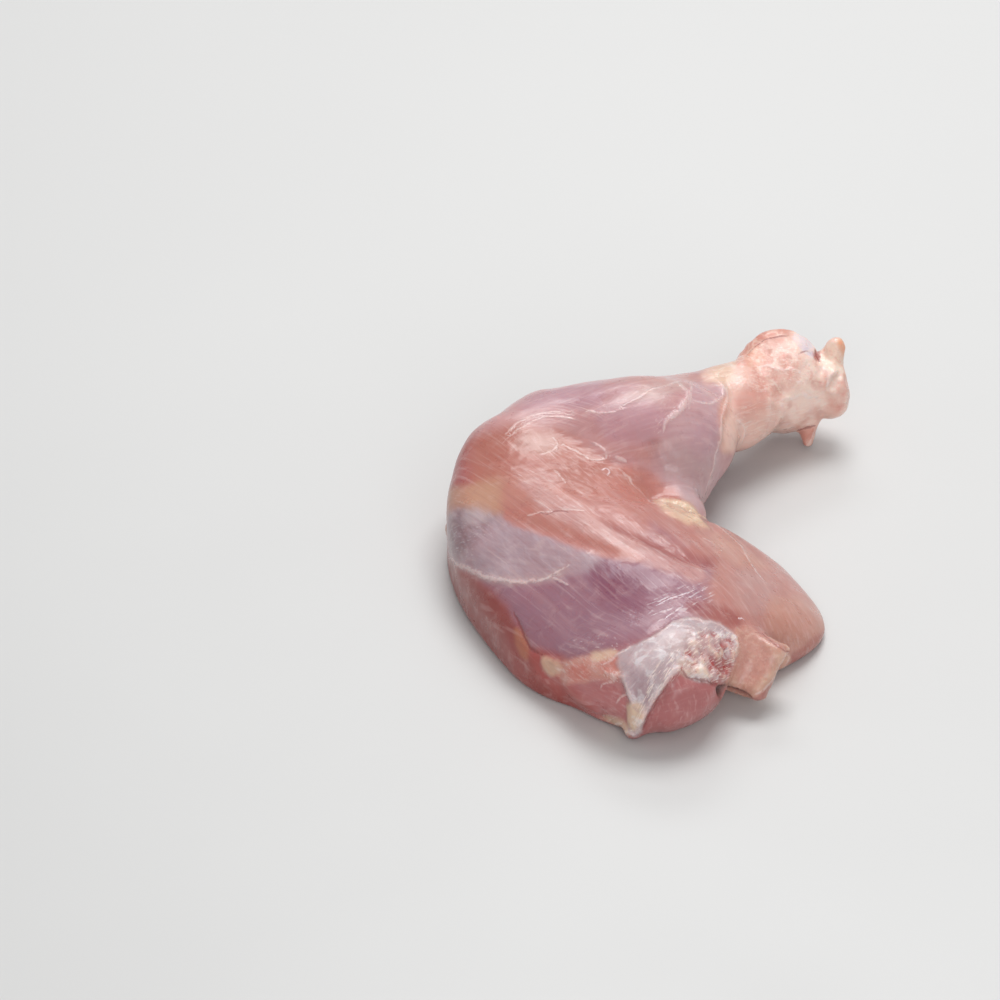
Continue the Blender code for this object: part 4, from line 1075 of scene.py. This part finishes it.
class Graph:
    """Short ways of writing shader nodes."""

    def __init__(self, name):
        self.material = bpy.data.materials.new(name)
        self.material.use_nodes = True
        self.tree = self.material.node_tree
        self.shader = self.tree.nodes["Principled BSDF"]

    def put(self, socket, value):
        if isinstance(value, bpy.types.NodeSocket):
            self.tree.links.new(value, socket)
        else:
            socket.default_value = value

    def attribute(self, name):
        n = self.tree.nodes.new("ShaderNodeAttribute")
        n.attribute_name = name
        return n

    def parts(self, vector):
        n = self.tree.nodes.new("ShaderNodeSeparateXYZ")
        self.put(n.inputs[0], vector)
        return n.outputs

    def math(self, op, a, b=0.0, c=0.0, clamp=False):
        n = self.tree.nodes.new("ShaderNodeMath")
        n.operation = op
        n.use_clamp = clamp
        self.put(n.inputs[0], a)
        self.put(n.inputs[1], b)
        if len(n.inputs) > 2:
            self.put(n.inputs[2], c)
        return n.outputs[0]

    def step(self, x, low, high, to_low=0.0, to_high=1.0):
        n = self.tree.nodes.new("ShaderNodeMapRange")
        n.interpolation_type = "SMOOTHSTEP"
        self.put(n.inputs["Value"], x)
        self.put(n.inputs["From Min"], low)
        self.put(n.inputs["From Max"], high)
        n.inputs["To Min"].default_value = to_low
        n.inputs["To Max"].default_value = to_high
        return n.outputs[0]

    def noise(self, vector, scale, detail=2.0, rough=0.5, warp=0.0, stretch=None, shift=(0, 0, 0)):
        if stretch is not None:
            m = self.tree.nodes.new("ShaderNodeMapping")
            self.put(m.inputs["Vector"], vector)
            m.inputs["Scale"].default_value = stretch
            m.inputs["Location"].default_value = shift
            vector = m.outputs[0]
        n = self.tree.nodes.new("ShaderNodeTexNoise")
        self.put(n.inputs["Vector"], vector)
        n.inputs["Scale"].default_value = scale
        n.inputs["Detail"].default_value = detail
        n.inputs["Roughness"].default_value = rough
        n.inputs["Distortion"].default_value = warp
        return n.outputs["Fac"]

    def cells(self, vector, scale, feature="F1", stretch=None):
        if stretch is not None:
            m = self.tree.nodes.new("ShaderNodeMapping")
            self.put(m.inputs["Vector"], vector)
            m.inputs["Scale"].default_value = stretch
            vector = m.outputs[0]
        n = self.tree.nodes.new("ShaderNodeTexVoronoi")
        n.feature = feature
        self.put(n.inputs["Vector"], vector)
        n.inputs["Scale"].default_value = scale
        return n.outputs["Distance"]

    def mix(self, share, a, b, blend="MIX"):
        n = self.tree.nodes.new("ShaderNodeMix")
        n.data_type = "RGBA"
        n.blend_type = blend
        self.put(n.inputs[0], share)
        self.put(n.inputs[6], a)
        self.put(n.inputs[7], b)
        return n.outputs[2]

    def blend(self, share, a, b):
        n = self.tree.nodes.new("ShaderNodeMix")
        n.data_type = "FLOAT"
        self.put(n.inputs[0], share)
        self.put(n.inputs[2], a)
        self.put(n.inputs[3], b)
        return n.outputs[0]

    def bump(self, height, strength, distance, below=None):
        n = self.tree.nodes.new("ShaderNodeBump")
        n.inputs["Strength"].default_value = strength
        n.inputs["Distance"].default_value = distance
        self.put(n.inputs["Height"], height)
        if below is not None:
            self.tree.links.new(below, n.inputs["Normal"])
        return n.outputs[0]


def rgba(r, g, b):
    c = lin(r, g, b)
    return (float(c[0]), float(c[1]), float(c[2]), 1.0)


g = Graph("raw_chicken_flesh")
place = g.tree.nodes.new("ShaderNodeTexCoord").outputs["Object"]
tint_colour = g.attribute("tint").outputs["Color"]
thigh_grain = g.attribute("grain_thigh").outputs["Vector"]
drum_grain = g.attribute("grain_drum").outputs["Vector"]
drum_share, hock_share, meat_share = g.parts(g.attribute("body").outputs["Vector"])
torn_share, wrinkle_share, seen_share = g.parts(g.attribute("rough").outputs["Vector"])
silver_d, membrane_d, fat_d = g.parts(g.attribute("edges").outputs["Vector"])


def line_mask(name, soften, gate=1.7):
    """Where the surface is on one of a set's lines: sharp at any size."""
    s, d, w = g.parts(g.attribute(name).outputs["Vector"])
    w = g.math("MULTIPLY", w, g.step(g.noise(place, 620.0, 3.0, 0.65), 0.34, 0.66, 0.15, 1.5))
    off = g.math("ABSOLUTE", s)
    edge = g.math("ADD", w, soften)
    inner = g.math("MULTIPLY", w, 0.35)
    fall = g.step(off, edge, inner)
    near = g.step(d, gate, gate * 0.7)
    real_line = g.step(w, 0.0, 0.12)
    return g.math("MULTIPLY", g.math("MULTIPLY", fall, near), real_line)


# fibres of the meat: noise drawn out along each muscle
fibre_t = g.noise(thigh_grain, 1.0, 2.0, 0.55, 0.0, (0.045, 0.95, 0.30))
fibre_d = g.noise(drum_grain, 1.0, 2.0, 0.55, 0.0, (0.045, 0.75, 0.3))
fibre = g.blend(drum_share, fibre_t, fibre_d)
strand_t = g.noise(thigh_grain, 1.0, 2.0, 0.5, 0.0, (0.03, 0.30, 0.12), (7, 3, 1))
strand_d = g.noise(drum_grain, 1.0, 2.0, 0.5, 0.0, (0.03, 0.26, 0.12), (5, 9, 2))
strand = g.blend(drum_share, strand_t, strand_d)
broad = g.noise(place, 55.0, 3.0, 0.55, 0.2)
blotch = g.noise(place, 190.0, 3.0, 0.6, 0.4)
speck = g.noise(place, 900.0, 2.0, 0.6)

colour = tint_colour
colour = g.mix(g.step(broad, 0.35, 0.70, 0.0, 0.10), colour, rgba(188, 112, 112))
colour = g.mix(g.step(blotch, 0.50, 0.78, 0.0, 0.16), colour, rgba(232, 200, 196))
colour = g.mix(g.step(blotch, 0.48, 0.25, 0.0, 0.12), colour, rgba(168, 100, 104))
fibre_pale = g.math("MULTIPLY", g.step(fibre, 0.53, 0.72, 0.0, 0.16), meat_share)
fibre_deep = g.math("MULTIPLY", g.step(fibre, 0.47, 0.28, 0.0, 0.14), meat_share)
colour = g.mix(fibre_pale, colour, rgba(236, 208, 206))
colour = g.mix(fibre_deep, colour, rgba(150, 84, 92))
colour = g.mix(g.math("MULTIPLY", g.step(strand, 0.54, 0.78, 0.0, 0.12), meat_share), colour, rgba(226, 190, 186))
colour = g.mix(g.math("MULTIPLY", g.step(strand, 0.46, 0.22, 0.0, 0.14), meat_share), colour, rgba(160, 92, 96))

# silverskin: a bluish film with its own fine weave
ragged = g.math("MULTIPLY_ADD", g.noise(place, 330.0, 3.0, 0.6), 4.0, -2.0)
silver_mask = g.step(g.math("ADD", silver_d, ragged), -5.0, 7.0, 0.0, 1.0)
veil = g.noise(drum_grain, 1.0, 3.0, 0.6, 0.6, (0.5, 0.11, 0.3), (1, 2, 3))
colour = g.mix(g.math("MULTIPLY", silver_mask, g.step(veil, 0.40, 0.72, 0.0, 0.26)), colour, rgba(208, 192, 202))

# the hip's membrane: white, torn and lumpy
torn_edge = g.math("MULTIPLY_ADD", ragged, 1.7, membrane_d)
membrane_mask = g.step(torn_edge, -1.6, 1.8)
web = g.noise(place, 240.0, 4.0, 0.6, 0.3)
colour = g.mix(g.math("MULTIPLY", membrane_mask, g.step(web, 0.50, 0.68, 0.0, 0.62)), colour, rgba(234, 228, 230))
colour = g.mix(g.math("MULTIPLY", membrane_mask, g.step(web, 0.47, 0.32, 0.0, 0.36)), colour, rgba(172, 138, 146))
blood = g.math("MULTIPLY", torn_share, g.step(g.noise(place, 640.0, 3.0, 0.7, 0.3, None), 0.60, 0.72, 0.0, 0.7))
colour = g.mix(blood, colour, rgba(170, 70, 66))

# fat: cream with soft lumps
fat_mask = g.step(g.math("ADD", fat_d, ragged), -0.8, 1.0)
grains = g.noise(place, 820.0, 3.0, 0.6)
colour = g.mix(g.math("MULTIPLY", fat_mask, g.step(grains, 0.50, 0.66, 0.0, 0.18)), colour, rgba(244, 218, 196))
colour = g.mix(g.math("MULTIPLY", fat_mask, g.step(grains, 0.48, 0.34, 0.0, 0.18)), colour, rgba(190, 132, 112))

# hock: mottled skin of the joint, cream sinew over pink
mottle = g.noise(place, 260.0, 4.0, 0.62, 0.9)
mottle_fine = g.noise(place, 620.0, 3.0, 0.6, 0.5)
colour = g.mix(g.math("MULTIPLY", hock_share, g.step(mottle, 0.50, 0.66, 0.0, 0.50)), colour, rgba(248, 222, 207))
colour = g.mix(g.math("MULTIPLY", hock_share, g.step(mottle, 0.46, 0.34, 0.0, 0.36)), colour, rgba(218, 142, 126))
colour = g.mix(g.math("MULTIPLY", hock_share, g.step(mottle_fine, 0.60, 0.72, 0.0, 0.24)), colour, rgba(208, 124, 108))

# combed places: glints painted as highlights, soft pale streaks with painted shade between them, and white threads
comb_place = g.attribute("comb").outputs["Vector"]
glint_share, streak_share, thread_share = g.parts(g.attribute("combed").outputs["Vector"])
teeth = g.noise(comb_place, 1.0, 2.0, 0.55)
teeth_fine = g.noise(comb_place, 1.9, 2.0, 0.5, 0.0, (1.0, 1.0, 1.0), (31.0, 17.0, 5.0))
soft_streak = g.math("MULTIPLY", streak_share, g.step(teeth, 0.46, 0.74, 0.0, 0.30))
soft_shade = g.math("MULTIPLY", streak_share, g.step(teeth, 0.48, 0.26, 0.0, 0.20))
thread_mask = g.math("MULTIPLY", thread_share, g.step(teeth_fine, 0.54, 0.62, 0.0, 0.70))
glint_mask = g.math("MULTIPLY", glint_share, g.step(g.math("ADD", teeth, g.attribute("dense").outputs["Fac"]), 0.60, 0.66, 0.0, 1.0))
glint_mask = g.math("MULTIPLY", glint_mask, g.step(g.noise(place, 380.0, 2.0), 0.40, 0.56))
colour = g.mix(soft_streak, colour, rgba(240, 216, 212))
# painted shade in the furrows between the pale streaks
colour = g.mix(soft_shade, colour, rgba(152, 84, 84))
colour = g.mix(thread_mask, colour, rgba(246, 228, 218))
colour = g.mix(g.math("MULTIPLY", glint_mask, 0.44), colour, rgba(250, 240, 242))
pale_line = line_mask("pale", 0.45)
glare_line = line_mask("glare", 0.25)
seam_and_crease_shade_line = line_mask("seams_and_crease_shade", 0.35)
broken = g.step(g.noise(place, 700.0, 2.0, 0.6), 0.30, 0.52, 0.35, 1.0)
colour = g.mix(g.math("MULTIPLY", g.math("MULTIPLY", pale_line, broken), 0.40), colour, rgba(242, 222, 218))
# painted highlights along the glare strokes
colour = g.mix(g.math("MULTIPLY", g.math("MULTIPLY", glare_line, broken), 0.60), colour, rgba(248, 232, 238))
# seams, and creases darkened with painted shade
colour = g.mix(g.math("MULTIPLY", seam_and_crease_shade_line, 0.62), colour, rgba(142, 66, 66))
g.put(g.shader.inputs["Base Color"], colour)

# wet gloss, duller where the film is dry
wet = g.noise(place, 150.0, 3.0, 0.55)
gloss = g.step(wet, 0.30, 0.72, 0.24, 0.46)
gloss = g.blend(g.math("MULTIPLY", silver_mask, 0.6), gloss, g.step(veil, 0.3, 0.7, 0.30, 0.42))
gloss = g.blend(g.math("MAXIMUM", g.math("MAXIMUM", glare_line, glint_mask), g.math("MULTIPLY", pale_line, 0.5)), gloss, 0.14)
g.put(g.shader.inputs["Roughness"], gloss)
height = g.math("MULTIPLY", fibre, meat_share)
n1 = g.bump(height, 0.22, 0.0004)
grit = g.math("ADD", g.math("MULTIPLY", speck, 0.4), blotch)
n2 = g.bump(grit, 0.12, 0.0005, n1)
rough_relief = g.math("MULTIPLY", g.math("ADD", mottle, mottle_fine), hock_share)
rough_relief = g.math("ADD", rough_relief, g.math("MULTIPLY", web, g.math("ADD", membrane_mask, torn_share)))
rough_relief = g.math("ADD", rough_relief, g.math("MULTIPLY", grains, fat_mask))
n3 = g.bump(rough_relief, 0.32, 0.0007, n2)
ridges = g.math("SUBTRACT", g.math("ADD", pale_line, g.math("MULTIPLY", glare_line, 1.2)), seam_and_crease_shade_line)
combed = g.math("ADD", g.math("MULTIPLY", teeth, streak_share), g.math("ADD", thread_mask, glint_mask))
ridges = g.math("ADD", ridges, combed)
n4 = g.bump(ridges, 0.3, 0.0003, n3)
g.tree.links.new(n4, g.shader.inputs["Normal"])
water = g.bump(g.math("ADD", wet, g.math("MULTIPLY", blotch, 0.35)), 0.28, 0.0010, g.bump(ridges, 0.3, 0.0003))
g.tree.links.new(water, g.shader.inputs["Coat Normal"])
s = g.shader.inputs
s["IOR"].default_value = 1.42
s["Specular IOR Level"].default_value = 0.5
s["Subsurface Weight"].default_value = 0.30
s["Subsurface Radius"].default_value = (1.0, 0.42, 0.30)
s["Subsurface Scale"].default_value = 0.0022
s["Coat Weight"].default_value = 0.4
s["Coat Roughness"].default_value = 0.09
s["Coat IOR"].default_value = 1.36
mesh.materials.append(g.material)
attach(legpiece, "root")
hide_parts("leg_quarter")

# ------------------------------------------------------------------ stage
floor_mesh = bpy.data.meshes.new("floor")
floor_mesh.from_pydata([(-4, -4, 0), (4, -4, 0), (4, 4, 0), (-4, 4, 0)], [], [(0, 1, 2, 3)])
floor = bpy.data.objects.new("floor", floor_mesh)
scene.collection.objects.link(floor)
fg = Graph("pale_floor")
fplace = fg.tree.nodes.new("ShaderNodeTexCoord").outputs["Object"]
fg.put(fg.shader.inputs["Base Color"], fg.mix(fg.noise(fplace, 3.0, 2.0), (0.61, 0.61, 0.605, 1), (0.64, 0.64, 0.635, 1)))
fg.put(fg.shader.inputs["Roughness"], fg.step(fg.noise(fplace, 9.0, 2.0), 0.2, 0.8, 0.40, 0.48))
floor_mesh.materials.append(fg.material)


def soft_light(name, place, aim, width, height, power, colour=(1, 1, 1)):
    data = bpy.data.lights.new(name, "AREA")
    data.shape = "RECTANGLE"
    data.size, data.size_y, data.energy, data.color = width, height, power, colour
    lamp = bpy.data.objects.new(name, data)
    scene.collection.objects.link(lamp)
    lamp.location = place
    lamp.rotation_euler = (Vector(aim) - Vector(place)).to_track_quat("-Z", "Y").to_euler()
    return lamp


soft_light("key_above_behind", (0.16, 0.52, 1.08), (0, 0, 0), 0.75, 0.6, 10.0)
soft_light("sheen_behind", (-0.05, 1.25, 0.86), (0, 0, 0.02), 0.7, 0.28, 2.2)
soft_light("fill_front", (0.15, -1.15, 0.62), (0, 0, 0.01), 1.0, 0.6, 5.5)
world = bpy.data.worlds.new("studio")
scene.world = world
world.use_nodes = True
world.node_tree.nodes["Background"].inputs["Color"].default_value = (1, 1, 1, 1)
world.node_tree.nodes["Background"].inputs["Strength"].default_value = 0.42
scene.view_settings.view_transform = "Standard"

print("quads", len(quads), "points", count)
